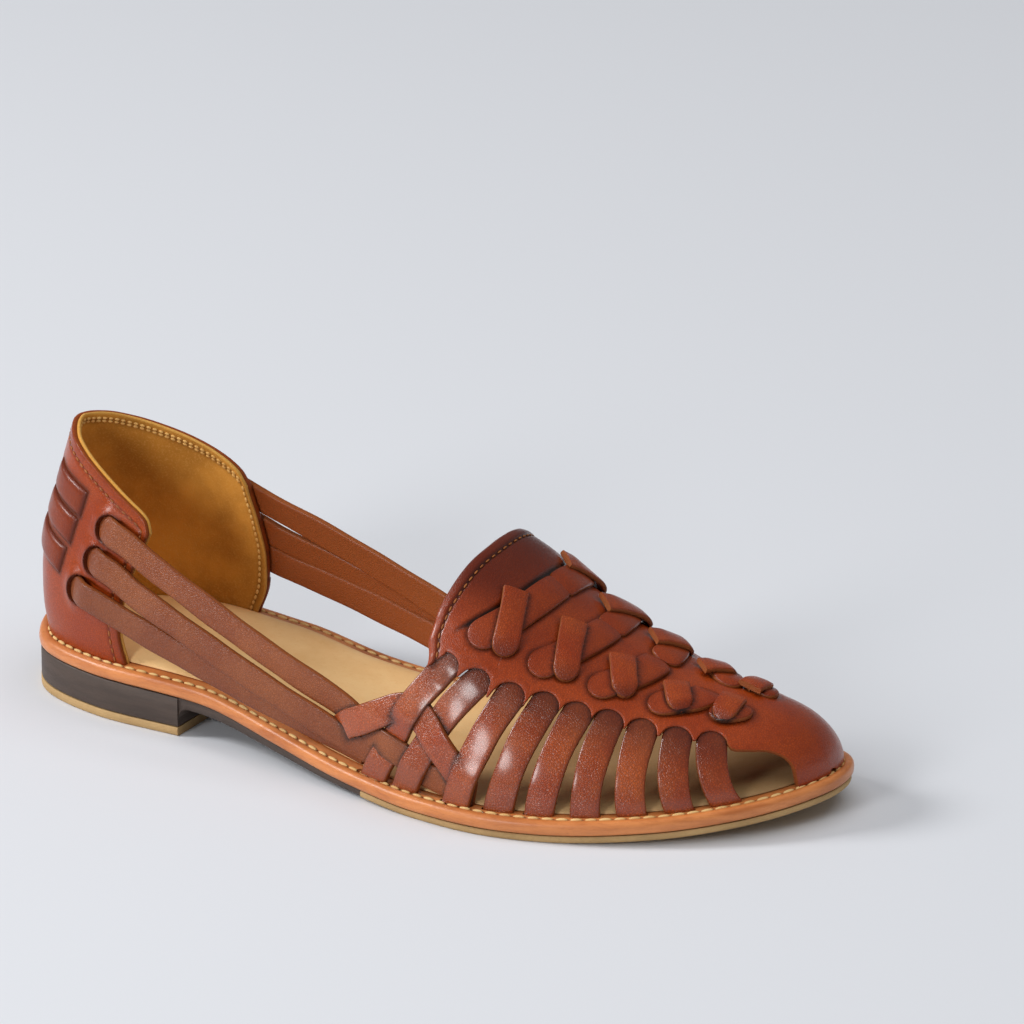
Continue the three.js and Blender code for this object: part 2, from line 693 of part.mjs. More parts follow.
// Place on the counter at a station and height of one side
function counterAt(x, height, side) {
  let low = 0;
  let high = 1;
  const rise = (height - weltTop(x) - SEAT_GAP) / COUNTER_HEIGHT;
  for (let i = 0; i < HALVINGS; i += 1) {
    const middle = (low + high) / 2;
    if (counterPoint(side * middle, rise).x < x) low = middle;
    else high = middle;
  }
  return onCounter(side * low, rise);
}

// Path of one sling strap: out of its slot, over the counter's wing and taut to the last's front
function strapPlaces(row, side, onCounterOnly) {
  const front = row.front.map((spot) => ({
    ...onLast(along(spot.along), spot.rise, side),
    low: spot.lift,
    high: spot.lift + STRIP_THICKNESS,
  }));
  const slotX = along(row.slot.along);
  const slope = (front[0].point.z - row.slot.height) / (front[0].point.x - slotX);
  const wingRise = (row.slot.height + slope * SLOT_RUN - HEEL_HEIGHT) / COUNTER_HEIGHT;
  const wingX = along(smooth(COUNTER_ROWS, 'rise', sideName(side), wingRise));
  const onWing = (x, levels) => ({ ...counterAt(x, row.slot.height + slope * (x - slotX), side), ...levels });
  const rest = { low: COUNTER_WALL + STRAP_REST, high: COUNTER_WALL + STRAP_REST + STRIP_THICKNESS };
  const places = [
    onWing(slotX - SLOT_TAIL, SLOT_ENDS[0]),
    onWing(slotX - SLOT_TAIL / 2, SLOT_ENDS[1]),
    onWing(slotX, SLOT_ENDS[2]),
    onWing(slotX + SLOT_RUN, rest),
    onWing(wingX, rest),
  ];
  const [before, edge] = places.slice(-2);
  const forward = edge.point.clone().sub(before.point).normalize();
  const clear = { ...edge, point: edge.point.clone().addScaledVector(forward, WING_CLEAR) };
  places.push(clear);
  if (onCounterOnly) return places;
  STRAP_SHARES.forEach((share) => {
    const normal = clear.normal.clone().lerp(front[0].normal, share).normalize();
    const bow = STRAP_BOW * Math.sin(Math.PI * share);
    places.push({
      point: clear.point.clone().lerp(front[0].point, share).addScaledVector(normal, bow),
      normal,
      low: mix(clear.low, front[0].low, share),
      high: mix(clear.high, front[0].high, share),
    });
  });
  return [...places, ...front];
}

function slingStrap(row, side) {
  return thong(strapPlaces(row, side, false), STRAP_WIDTH);
}

// Slot in the counter: the strap's own path with clearance all round
function slotCutter(row, side) {
  const places = strapPlaces(row, side, true).map((place) => ({
    ...place,
    low: place.low - SEAT_GAP,
    high: place.high + SEAT_GAP,
  }));
  const [tail, next] = places;
  const inward = tail.point.clone().sub(next.point).normalize();
  tail.point = tail.point.clone().addScaledVector(inward, SEAT_GAP);
  return thong(places, STRAP_WIDTH + 2 * SEAT_GAP);
}

// Woven inlay at the heel's back
function counterInlay(row, side) {
  const places = [];
  for (let i = 0; i <= INLAY_STEPS; i += 1) {
    const t = i / INLAY_STEPS - 0.5;
    const place = counterAt(along(row.along) + INLAY_RUN * t, row.height - INLAY_DROP * t, side);
    const high = COUNTER_WALL + INLAY_RAISE * Math.cos(Math.PI * INLAY_CROWN * t);
    places.push({ ...place, low: COUNTER_WALL / 2, high });
  }
  return thong(places, INLAY_WIDTH);
}

function counterSheet() {
  const placeAt = (i, j) => {
    const round = mix(-1, 1, i / COUNTER_TURN_STEPS);
    const collar = smooth(COLLAR_ROWS, 'round', sideName(round < 0 ? LATERAL : MEDIAL), Math.abs(round));
    return onCounter(round, collar * (j / COUNTER_RISE_STEPS));
  };
  return sheet(COUNTER_TURN_STEPS, COUNTER_RISE_STEPS, placeAt, 0, COUNTER_WALL);
}

const joined = (solids) => solids.reduce((whole, solid) => whole.add(solid));
const bothSides = (make) => SIDES.flatMap((side) => make(side));

// Everything below the upper's feet: the welt's top with its seat gap
function underFeet() {
  return soleLayer([
    { inset: -UNDER_MARGIN, height: () => -UNDER_DEPTH },
    { inset: -UNDER_MARGIN, height: (x) => weltTop(x) + SEAT_GAP },
  ]);
}

function makeUpper() {
  const pieces = [
    apronSheet(),
    ...bothSides((side) => [
      ...STRIP_ROWS.map((row, k) => sideStrip(k, side)),
      ...WEAVE_ROWS.flatMap((row) => [weaveDiagonal(row, side), weaveTab(row, side)]),
      plaitLoop(side),
      ...STRAP_ROWS.map((row) => slingStrap(row, side)),
    ]),
  ];
  return joined(pieces).subtract(underFeet());
}

function makeCounter() {
  const inlays = bothSides((side) => INLAY_ROWS.map((row) => counterInlay(row, side)));
  const slots = bothSides((side) => STRAP_ROWS.map((row) => slotCutter(row, side)));
  return joined([counterSheet(), ...inlays]).subtract(joined(slots)).subtract(underFeet());
}

// Heights of the sole's layers
const weltBottom = (x) => weltTop(x) - WELT_THICKNESS;
const underWelt = (x) => weltBottom(x) - SEAT_GAP;
function shankBottom(x) {
  const t = THREE.MathUtils.clamp((x - HEEL_LENGTH) / (SHANK_END - HEEL_LENGTH), 0, 1);
  return underWelt(x) - mix(SHANK_THICKNESS, OUTSOLE_THICKNESS, t);
}

const outsoleBottom = (x) => underWelt(x) - OUTSOLE_THICKNESS;
const insoleBottom = (x) => weltTop(x) + SEAT_GAP;
const floorLevel = () => 0;
const ringsOver = (rows, level) => rows.map(({ inset, above }) => ({ inset, height: (x) => level(x) + above }));

const makeWelt = () => soleLayer(ringsOver(WELT_RINGS, weltBottom));
const makeInsole = () => soleLayer(ringsOver(INSOLE_RINGS, insoleBottom));
const makeOutsole = () => soleLayer(ringsOver(OUTSOLE_RINGS, outsoleBottom), SHANK_END + SEAT_GAP);
const makeTopLift = () => soleLayer(ringsOver(TOP_LIFT_RINGS, floorLevel), undefined, HEEL_LENGTH);

function makeHeelBlock() {
  const block = soleLayer([
    { inset: BLOCK_INSET, height: () => TOP_LIFT_THICKNESS + SEAT_GAP },
    { inset: BLOCK_INSET, height: underWelt },
  ], undefined, HEEL_LENGTH);
  const shank = soleLayer([
    { inset: SHANK_INSET, height: shankBottom },
    { inset: BLOCK_INSET, height: underWelt },
  ], HEEL_LENGTH - SHANK_LAP, SHANK_END);
  return block.add(shank);
}

// Node from a solid, with its colour and finish
function node(name, solid, colour, roughness) {
  const { vertProperties, triVerts } = solid.getMesh();
  const geometry = new THREE.BufferGeometry();
  geometry.setAttribute('position', new THREE.BufferAttribute(vertProperties, 3));
  geometry.setIndex(new THREE.BufferAttribute(triVerts, 1));
  geometry.computeVertexNormals();
  const material = new THREE.MeshStandardMaterial({ color: colour, roughness, metalness: 0 });
  const mesh = new THREE.Mesh(geometry, material);
  mesh.name = name;
  return mesh;
}

const shoe = new THREE.Group();
shoe.add(
  node('top_lift', makeTopLift(), 0x8c7350, 0.8),
  node('heel_block', makeHeelBlock(), 0x4b413c, 0.6),
  node('outsole', makeOutsole(), 0x8c7350, 0.8),
  node('welt', makeWelt(), 0xc87d46, 0.45),
  node('insole', makeInsole(), 0xcdaa7d, 0.6),
  node('heel_counter', makeCounter(), 0xa55532, 0.45),
  node('upper', makeUpper(), 0x8c4628, 0.4),
);

// The floor's origin lies under the middle of the shoe's box
const middle = new THREE.Box3().setFromObject(shoe).getCenter(new THREE.Vector3());
shoe.position.set(-middle.x, -middle.y, 0);
const sandal = new THREE.Group();
sandal.add(shoe);

export default sandal;
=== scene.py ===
import math

import bmesh
import bpy
import numpy as np
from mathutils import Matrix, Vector
from mathutils.kdtree import KDTree


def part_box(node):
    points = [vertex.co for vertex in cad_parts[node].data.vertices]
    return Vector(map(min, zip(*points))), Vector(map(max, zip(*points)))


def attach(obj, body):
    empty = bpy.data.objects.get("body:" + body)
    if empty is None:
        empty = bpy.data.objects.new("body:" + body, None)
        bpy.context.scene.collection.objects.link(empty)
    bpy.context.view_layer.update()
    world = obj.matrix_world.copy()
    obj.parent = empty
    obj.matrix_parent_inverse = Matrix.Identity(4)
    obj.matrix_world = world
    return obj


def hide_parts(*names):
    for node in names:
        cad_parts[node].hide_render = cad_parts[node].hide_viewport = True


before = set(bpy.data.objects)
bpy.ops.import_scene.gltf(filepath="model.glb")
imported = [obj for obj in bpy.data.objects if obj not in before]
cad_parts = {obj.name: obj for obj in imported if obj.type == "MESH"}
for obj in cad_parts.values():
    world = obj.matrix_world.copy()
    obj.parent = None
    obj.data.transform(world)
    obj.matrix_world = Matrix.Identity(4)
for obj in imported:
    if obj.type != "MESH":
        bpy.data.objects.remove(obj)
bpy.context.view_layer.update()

# Woven leather slingback sandal, right foot, shaped in millimetres.
# The heel's back is at x = 0, the toe points to +X, the outer side of the foot faces -Y.
SOLE_LENGTH = 256
BALL_WIDTH = 96.8
HEEL_HEIGHT = 16.8
FOREFOOT_HEIGHT = 6.4
TOE_SPRING = 6.8
INSTEP_HEIGHT = 66.5
COUNTER_HEIGHT = 61
HEEL_LENGTH = 63.6
SHANK_END = 133.3
WELT_THICKNESS = 4.1
OUTSOLE_THICKNESS = 2
TOP_LIFT_THICKNESS = 2.6
INSOLE_THICKNESS = 2
SHANK_THICKNESS = 3.3
SEAT_GAP = 0.3

# Leather sizes of the upper
LAST_INSET = 6.2
STRIP_WIDTH = 8.5
STRIP_THICKNESS = 1.8
ARCH_GAP = 0.35
APRON_LOW = 1.4
APRON_HIGH = 3.4
DIAGONAL_WIDTH = 9
TAB_WIDTH = 7.6
COUNTER_WALL = 2.6
LINING_WALL = 1.1
STRAP_WIDTH = 7.6
MEDIAL_STRAP_WIDTH = 8.5

LATERAL = -1
MEDIAL = 1
SIDES = (LATERAL, MEDIAL)
SIDE_NAMES = {LATERAL: "lateral", MEDIAL: "medial"}


def table(names, *rows):
    """Columns of numbers by name."""
    return {name: np.array([row[i] for row in rows], float) for i, name in enumerate(names.split())}


# Rim of the welt as percents of the sole's length and of the ball's width, heel back to toe along
# the outer side and back along the inner side
RIM = table(
    "along side",
    (0, 1), (1.4, -11.3), (4.7, -22.5), (13.3, -31.3), (29.3, -33.8), (46.9, -44.8), (59.4, -51.9),
    (68.8, -52.9), (78.1, -46), (86.7, -34.1), (93.8, -18.6), (98.2, -2.6), (100, 12.4), (99, 25.8),
    (94.9, 36.2), (86.7, 42.1), (76.6, 46.7), (67.2, 46.5), (54.7, 37.7), (39.8, 30), (27.3, 32),
    (15.6, 34.3), (5.5, 25.8), (1.4, 13.4),
)
# Top of the welt along the shoe: shares of the heel's rise and of the toe spring
PROFILE = table(
    "along heel toe",
    (0, 1, 0), (15.6, 0.98, 0), (27.3, 0.9, 0), (39, 0.5, 0), (50.8, 0.115, 0), (60.5, 0, 0),
    (74.2, 0, 0), (85.9, 0, 0.226), (93.8, 0, 0.58), (100, 0, 1),
)
# Sections of the last: ridge height as a share of the instep's, how far the ridge lies inward as a
# percent of the ball's width, and the power of the section's rounded form
LAST = table(
    "along ridge inward power",
    (15, 1.41, 1, 2.2), (39, 1.27, 0, 2.1), (46.9, 1.195, 0.6, 2.05), (54.7, 1.065, 1.3, 2),
    (61.3, 0.942, 2.1, 2), (66, 0.8, 2.5, 1.98), (71.1, 0.675, 3.1, 1.97), (77.3, 0.562, 4.2, 1.98),
    (83.6, 0.476, 5.7, 2), (89.5, 0.446, 8, 2), (93.8, 0.447, 9.8, 2), (98.4, 0.443, 12.9, 2),
)
TOE_ROUND_FROM = 84
TOE_ROUND_POWER = 2.4
# Depth over which the wall runs on below the feather edge, at least
LEAST_DEPTH = 8

# Side strips: where each leaves the apron, how high up the last in degrees, and its foot
STRIPS = table(
    "top rise foot",
    (61.6, 41.6, 53.7), (65.3, 43.9, 58), (68.7, 46.7, 64.9), (72.1, 49.8, 69.7), (75.4, 52, 74.1),
    (78.5, 53.9, 78.8), (81.8, 55.5, 83.3), (85.3, 54.8, 87.6), (88.5, 55.5, 91.5),
)
STRIP_OVERRUN = 5
# Layers of the first three strips in the plait: lift above the last at each angle
PLAIT_LIFTS = [
    table("rise lift", (0, 1.7), (4.5, 1.7), (9.9, 0), (14, 0.4), (20.3, 1.6), (32, 0)),
    table("rise lift", (0, 1), (6.7, 1.7), (9.9, 1), (16.2, 0), (32, 0)),
    table("rise lift", (0, 1.2), (8.8, 1.6), (22, 0), (32, 0)),
]
# The loop thong that binds the sling straps into the first strips
PLAIT_LOOP = table(
    "along rise lift",
    (48.1, 6.8, 0.2), (49.7, 9.9, 1.6), (51.5, 12.5, 2), (54.1, 16.9, 1.7), (56.5, 20.8, 0.3),
    (58.5, 21.5, 0.2), (60, 20.2, 0.8), (62, 16.2, 1.7), (64, 11.6, 0.5), (65.4, 8, 0),
)

# Sling straps: slot in the counter by station and height, then the centre line where the strap
# meets the last again. In between each strap is taut, bowed a little outward.
STRAPS = [
    {
        "slot": (12.9, 56.2),
        "front": table(
            "along rise lift",
            (48.6, 12.7, 0.3), (52.3, 10.3, 0.3), (55.9, 9.6, 1.6), (58.1, 8.4, 0.8), (60.7, 5.9, 0),
            (64.1, 4.9, 0), (66.9, 4.3, 0),
        ),
    },
    {
        "slot": (11.6, 46.4),
        "front": table("along rise lift", (48.6, 6.2, 1.6), (50.9, 5.5, 0.6), (53.7, 5.1, 0)),
    },
    {
        "slot": (9.4, 36.6),
        "front": table("along rise lift", (48.6, 4.4, 0), (51.7, 4.5, 0)),
    },
]
STRAP_BOW = 1.5
MEDIAL_STRAP_RISE = 3.6
SLOT_RUN = 6
WING_CLEAR = 5
STRAP_REST = 0.6
SLOT_LIP = 1.5
SLOT_SINK = 1.4

# Weave of the apron: each diagonal thong, and the tab that crosses over it
WEAVE = table(
    "start start_rise end end_rise foot foot_rise head head_rise",
    (62.4, 48, 65.9, 92, 66.1, 51.6, 63.6, 72),
    (68.8, 53.5, 72.3, 92, 72.6, 56.3, 69.6, 79),
    (75, 58, 78.6, 90, 78.7, 61.3, 75.7, 78),
    (80.9, 63.4, 85.6, 84, 84.8, 63, 82, 78.8),
    (87, 68, 89.8, 80, 88.6, 62.5, 88.3, 82),
)
DIAGONAL_BEND = 2.6

# Throat edge of the apron by height, and the toe cap's edge round the side cut-out
THROAT = table(
    "rise along",
    (30, 60.2), (35, 59.5), (43, 58.6), (50, 58.6), (59, 58.8), (70, 59.1), (81, 59.5), (90, 59.6),
)
THROAT_FADE = 12
CUTOUT = table(
    "along rise",
    (90.25, 48.6), (91.1, 43.9), (92.6, 45), (93.8, 46.5), (94.8, 44.3), (95.5, 38.5), (95.9, 29),
    (96.15, 13), (96.4, -16),
)

# Heel counter by share of its height: width and lean against the welt's outline, and how far
# forward each wing reaches
COUNTER = table(
    "rise width lean lateral medial",
    (0, 1, -1, 17.1, 21.2), (0.15, 1.02, -2.8, 16.6, 22.5), (0.3, 1, -3.2, 16.9, 22.7),
    (0.5, 0.91, -1.8, 18.1, 22.2), (0.7, 0.81, 1.6, 19.3, 21.3), (1, 0.69, 7.5, 19.3, 21.3),
)
COUNTER_LEAN_END = 25
MEDIAL_DRAW = 0.08
# Collar line of each side: share of the counter's height from the heel's back to a wing's front
COLLAR = table(
    "turn lateral medial",
    (0, 1, 1), (0.2, 0.983, 0.975), (0.35, 0.953, 0.943), (0.48, 0.908, 0.914), (0.663, 0.838, 0.868),
    (0.843, 0.762, 0.803), (0.96, 0.702, 0.735), (1, 0.645, 0.67),
)
# Woven inlays at the heel's back: the middle of each, then half of its long and of its short side
INLAYS = table("along height", (7.6, 61.8), (6.5, 53.3), (5.2, 44.1))
INLAY_LONG = (6.6, -2.3)
INLAY_SHORT = (-1, -3.8)
INLAY_RAISE = 1


def along(percent):
    """Station along the sole in millimetres."""
    return np.asarray(percent, float) / 100 * SOLE_LENGTH


def mix(a, b, t):
    return a + (b - a) * t


def ease(low, high, value):
    """Smooth step from 0 at low to 1 at high."""
    t = np.clip((value - low) / (high - low), 0, 1)
    return t * t * (3 - 2 * t)


def unit(vectors):
    return vectors / np.maximum(np.linalg.norm(vectors, axis=-1, keepdims=True), 1e-12)


def bell(value, middle, width):
    """1 at the middle, fading to both sides."""
    return np.exp(-(((value - middle) / width) ** 2))


def run_along(points, axis=0):
    """Length run along a line of points, or along one way of a grid of them."""
    run = np.cumsum(np.linalg.norm(np.diff(points, axis=axis), axis=-1), axis=axis)
    return np.concatenate([0 * np.take(run, [0], axis=axis), run], axis=axis)


def smooth(rows, key, column, value):
    """Monotone cubic through a table, read by one column and giving another."""
    xs = rows[key]
    ys = rows[column]
    grades = np.diff(ys) / np.diff(xs)
    slopes = np.concatenate([grades[:1], np.zeros(len(xs) - 2), grades[-1:]])
    before = grades[:-1]
    after = grades[1:]
    same = before * after > 0
    slopes[1:-1][same] = (2 * before * after)[same] / (before + after)[same]
    at = np.clip(value, xs[0], xs[-1])
    i = np.clip(np.searchsorted(xs, at, side="right") - 1, 0, len(xs) - 2)
    span = xs[i + 1] - xs[i]
    t = (at - xs[i]) / span
    near = ys[i] * (1 + 2 * t) * (1 - t) ** 2 + slopes[i] * span * t * (1 - t) ** 2
    far = ys[i + 1] * t**2 * (3 - 2 * t) - slopes[i + 1] * span * t**2 * (1 - t)
    return near + far


def curve_through(values, pitch, closed=False):
    """Centripetal curve through rows whose first columns are a place, in steps of about pitch."""
    values = np.asarray(values, float)
    if closed:
        ring = np.concatenate([values[-1:], values, values[:2]])
    else:
        ring = np.concatenate([2 * values[:1] - values[1:2], values, 2 * values[-1:] - values[-2:-1]])
    gaps = np.sqrt(np.maximum(np.linalg.norm(np.diff(ring[:, :3], axis=0), axis=1), 1e-6))
    out = []
    for i in range(len(ring) - 3):
        a, b, c, d = ring[i:i + 4]
        ga, gb, gc = gaps[i:i + 3]
        leave = ((b - a) / ga - (c - a) / (ga + gb) + (c - b) / gb) * gb
        reach = ((c - b) / gb - (d - b) / (gb + gc) + (d - c) / gc) * gb
        steps = max(int(round(gb * gb / pitch)), 1)
        t = (np.arange(steps) / steps)[:, None]
        start = b * (1 + 2 * t) * (1 - t) ** 2 + leave * t * (1 - t) ** 2
        out.append(start + c * t**2 * (3 - 2 * t) - reach * t**2 * (1 - t))
    if not closed:
        out.append(values[-1:])
    return np.concatenate(out)


def welt_top(x):
    """Height of the welt's top at a station."""
    percent = np.asarray(x, float) / SOLE_LENGTH * 100
    heel = smooth(PROFILE, "along", "heel", percent)
    toe = smooth(PROFILE, "along", "toe", percent)
    return FOREFOOT_HEIGHT + (HEEL_HEIGHT - FOREFOOT_HEIGHT) * heel + TOE_SPRING * toe


rim_rows = np.stack([along(RIM["along"]), RIM["side"] / 100 * BALL_WIDTH, 0 * RIM["side"]], axis=1)
rim_curve = curve_through(rim_rows, 0.8, closed=True)[:, :2]
rim_run = unit(np.roll(rim_curve, -1, axis=0) - np.roll(rim_curve, 1, axis=0))
rim_inward = np.stack([-rim_run[:, 1], rim_run[:, 0]], axis=1)
side_lines = {}


def rim_sides(inset):
    """Outer and inner half of the rim moved inward, each from heel to toe."""
    if inset not in side_lines:
        moved = rim_curve + rim_inward * inset
        moved = np.roll(moved, -moved[:, 0].argmin(), axis=0)
        toe = moved[:, 0].argmax()
        inner = np.concatenate([moved[toe:], moved[:1]])[::-1]
        side_lines[inset] = {LATERAL: moved[:toe + 1], MEDIAL: inner}
    return side_lines[inset]


def side_at(x, inset, side):
    line = rim_sides(inset)[side]
    return np.interp(x, line[:, 0], line[:, 1])


last_tip = rim_sides(LAST_INSET)[LATERAL][-1, 0]


def last_point(x, degrees):
    """Point of the last at a station and an angle: 0 at the outer feather edge, 180 at the inner."""
    x, degrees = np.broadcast_arrays(np.asarray(x, float), np.asarray(degrees, float))
    percent = x / SOLE_LENGTH * 100
    base = welt_top(x)
    toe = np.clip((x - along(TOE_ROUND_FROM)) / (last_tip - along(TOE_ROUND_FROM)), 0, 1)
    rounding = (1 - toe**TOE_ROUND_POWER) ** (1 / TOE_ROUND_POWER)
    height = (INSTEP_HEIGHT * smooth(LAST, "along", "ridge", percent) - base) * rounding
    outer = side_at(x, LAST_INSET, LATERAL)
    inner = side_at(x, LAST_INSET, MEDIAL)
    ridge = np.clip(smooth(LAST, "along", "inward", percent) / 100 * BALL_WIDTH, outer, inner)
    angle = np.radians(np.clip(degrees, 0, 180))
    below = np.radians(np.minimum(np.minimum(degrees, 180 - degrees), 0))
    power = 2 / smooth(LAST, "along", "power", percent)
    half = np.where(degrees <= 90, outer - ridge, inner - ridge)
    y = ridge + half * np.abs(np.cos(angle)) ** power
    z = base + height * np.maximum(np.sin(angle), 0) ** power + np.maximum(height, LEAST_DEPTH) * below
    return np.stack([x, y, z], axis=-1)


def outward(surface, u, v, step_u, step_v):
    """Unit normal of a surface given as a function of two values."""
    du = surface(u + step_u, v) - surface(u - step_u, v)
    dv = surface(u, v + step_v) - surface(u, v - step_v)
    return unit(np.cross(du, dv))


def on_last(x, degrees, side=LATERAL):
    """Places on the last with their outward directions."""
    x, degrees = np.broadcast_arrays(np.asarray(x, float), np.asarray(degrees, float))
    level = degrees if side == LATERAL else 180 - degrees
    normal = outward(last_point, np.minimum(x, last_tip - 0.1), np.clip(level, 1, 179), 0.05, 0.5)
    return last_point(x, level), normal


heel_arcs = {}
for side in SIDES:
    arc_line = rim_sides(LAST_INSET)[side]
    heel_arcs[side] = (arc_line[:, 0], arc_line[:, 1], run_along(arc_line))
heel_middle = rim_sides(LAST_INSET)[LATERAL][0, 1]


def counter_point(turn, rise):
    """Point of the counter's inner face: turn runs from -1 at the outer wing to 1 at the inner."""
    turn, rise = np.broadcast_arrays(np.asarray(turn, float), np.asarray(rise, float))
    x = np.zeros(turn.shape)
    y = np.zeros(turn.shape)
    for side in SIDES:
        xs, ys, lengths = heel_arcs[side]
        reach = along(smooth(COUNTER, "rise", SIDE_NAMES[side], rise))
        length = np.abs(turn) * np.interp(reach, xs, lengths)
        here = turn < 0 if side == LATERAL else turn >= 0
        x = np.where(here, np.interp(length, lengths, xs), x)
        y = np.where(here, np.interp(length, lengths, ys), y)
    width = smooth(COUNTER, "rise", "width", rise) - np.maximum(turn, 0) * MEDIAL_DRAW * rise
    lean = smooth(COUNTER, "rise", "lean", rise) * np.maximum(1 - x / along(COUNTER_LEAN_END), 0)
    z = welt_top(x) + SEAT_GAP + rise * COUNTER_HEIGHT
    return np.stack([x + lean, heel_middle + (y - heel_middle) * width, z], axis=-1)


def on_counter(turn, rise):
    """Places on the counter's inner face with their outward directions."""
    spot = np.clip(turn, -0.99, 0.99)
    level = np.clip(rise, 0.01, 1.2)
    return counter_point(turn, rise), -outward(counter_point, spot, level, 0.01, 0.01)


def counter_spot(x, height, side):
    """Turn and rise of the counter at stations and heights of one side."""
    x, height = np.broadcast_arrays(np.asarray(x, float), np.asarray(height, float))
    rise = (height - welt_top(x) - SEAT_GAP) / COUNTER_HEIGHT
    low = np.zeros(x.shape)
    high = np.ones(x.shape)
    for _ in range(30):
        middle = (low + high) / 2
        behind = counter_point(side * middle, rise)[..., 0] < x
        low = np.where(behind, middle, low)
        high = np.where(behind, high, middle)
    return side * low, rise


def collar_rise(turn):
    """Share of the counter's height at which its collar lies."""
    outer = smooth(COLLAR, "turn", "lateral", np.abs(turn))
    return np.where(turn < 0, outer, smooth(COLLAR, "turn", "medial", np.abs(turn)))


# From the shoe's millimetres to the frame's metres
welt_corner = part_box("welt")[0]
frame_shift = np.array([
    welt_corner.x * 1000 - rim_curve[:, 0].min(),
    welt_corner.y * 1000 - rim_curve[:, 1].min(),
    0,
])


def in_frame(points):
    return (np.asarray(points, float) + frame_shift) / 1000


def clear_of_welt(points):
    """Points held above the welt, so that leather sewn in there doesn't run through it."""
    lowest = welt_top(points[:, 0]) + SEAT_GAP / 2
    return np.column_stack([points[:, :2], np.maximum(points[:, 2], lowest)])


def new_object(name, data):
    made = bpy.data.objects.new(name, data)
    bpy.context.collection.objects.link(made)
    return made


class Shape:
    """Corners, faces and painted masks of one piece, gathered from several shells."""

    def __init__(self):
        self.points = []
        self.faces = []
        self.masks = {}
        self.count = 0

    def add(self, points, faces, **masks):
        """One more shell, with a value or values for each mask that it is painted with."""
        points = np.asarray(points, float).reshape(-1, 3)
        for face in faces:
            self.faces.append(tuple(int(corner) + self.count for corner in face))
        for name in sorted(set(self.masks) | set(masks)):
            kept = self.masks.setdefault(name, [np.zeros(self.count)] if self.count else [])
            values = masks.get(name, 0)
            kept.append(np.broadcast_to(np.asarray(values, float).reshape(-1), (len(points),)))
        self.points.append(points)
        self.count += len(points)

    def piece(self, name, material, slot, *nodes, sharp=50):
        """The shells as one object, welded and smooth, with edges sharp beyond an angle in degrees."""
        mesh = bpy.data.meshes.new(name)
        places = in_frame(np.concatenate(self.points))
        mesh.from_pydata(places.tolist(), [], self.faces)
        for key, values in self.masks.items():
            layer = mesh.attributes.new(key, "FLOAT", "POINT")
            layer.data.foreach_set("value", np.concatenate(values).astype(np.float32))
        shell = bmesh.new()
        shell.from_mesh(mesh)
        bmesh.ops.remove_doubles(shell, verts=shell.verts, dist=2e-6)
        bmesh.ops.dissolve_degenerate(shell, edges=shell.edges, dist=1e-6)
        bmesh.ops.recalc_face_normals(shell, faces=shell.faces)
        shell.to_mesh(mesh)
        shell.free()
        mesh.shade_smooth()
        mesh.set_sharp_from_angle(angle=math.radians(sharp))
        mesh.materials.append(material)
        return placed(new_object(name, mesh), slot, *nodes)


def placed(made, slot, *nodes):
    """The piece rides on the shoe and stands for CAD nodes, which it hides; the slot is not used."""
    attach(made, "root")
    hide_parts(*nodes)
    return made


def grid_faces(columns, rows):
    """Quads of a grid of corners in column order."""
    faces = []
    for i in range(columns - 1):
        for j in range(rows - 1):
            at = i * rows + j
            faces.append((at, at + rows, at + rows + 1, at + 1))
    return faces


def tube_faces(rings, size, capped=True):
    """Quads between rings of the same number of corners, with a face over each end."""
    faces = []
    for at in range(0, (rings - 1) * size, size):
        for j in range(size):
            after = (j + 1) % size
            faces.append((at + j, at + after, at + size + after, at + size + j))
    if capped:
        final = (rings - 1) * size
        faces.append(tuple(range(size))[::-1])
        faces.append(tuple(range(final, final + size)))
    return faces


EDGE_STEPS = 5


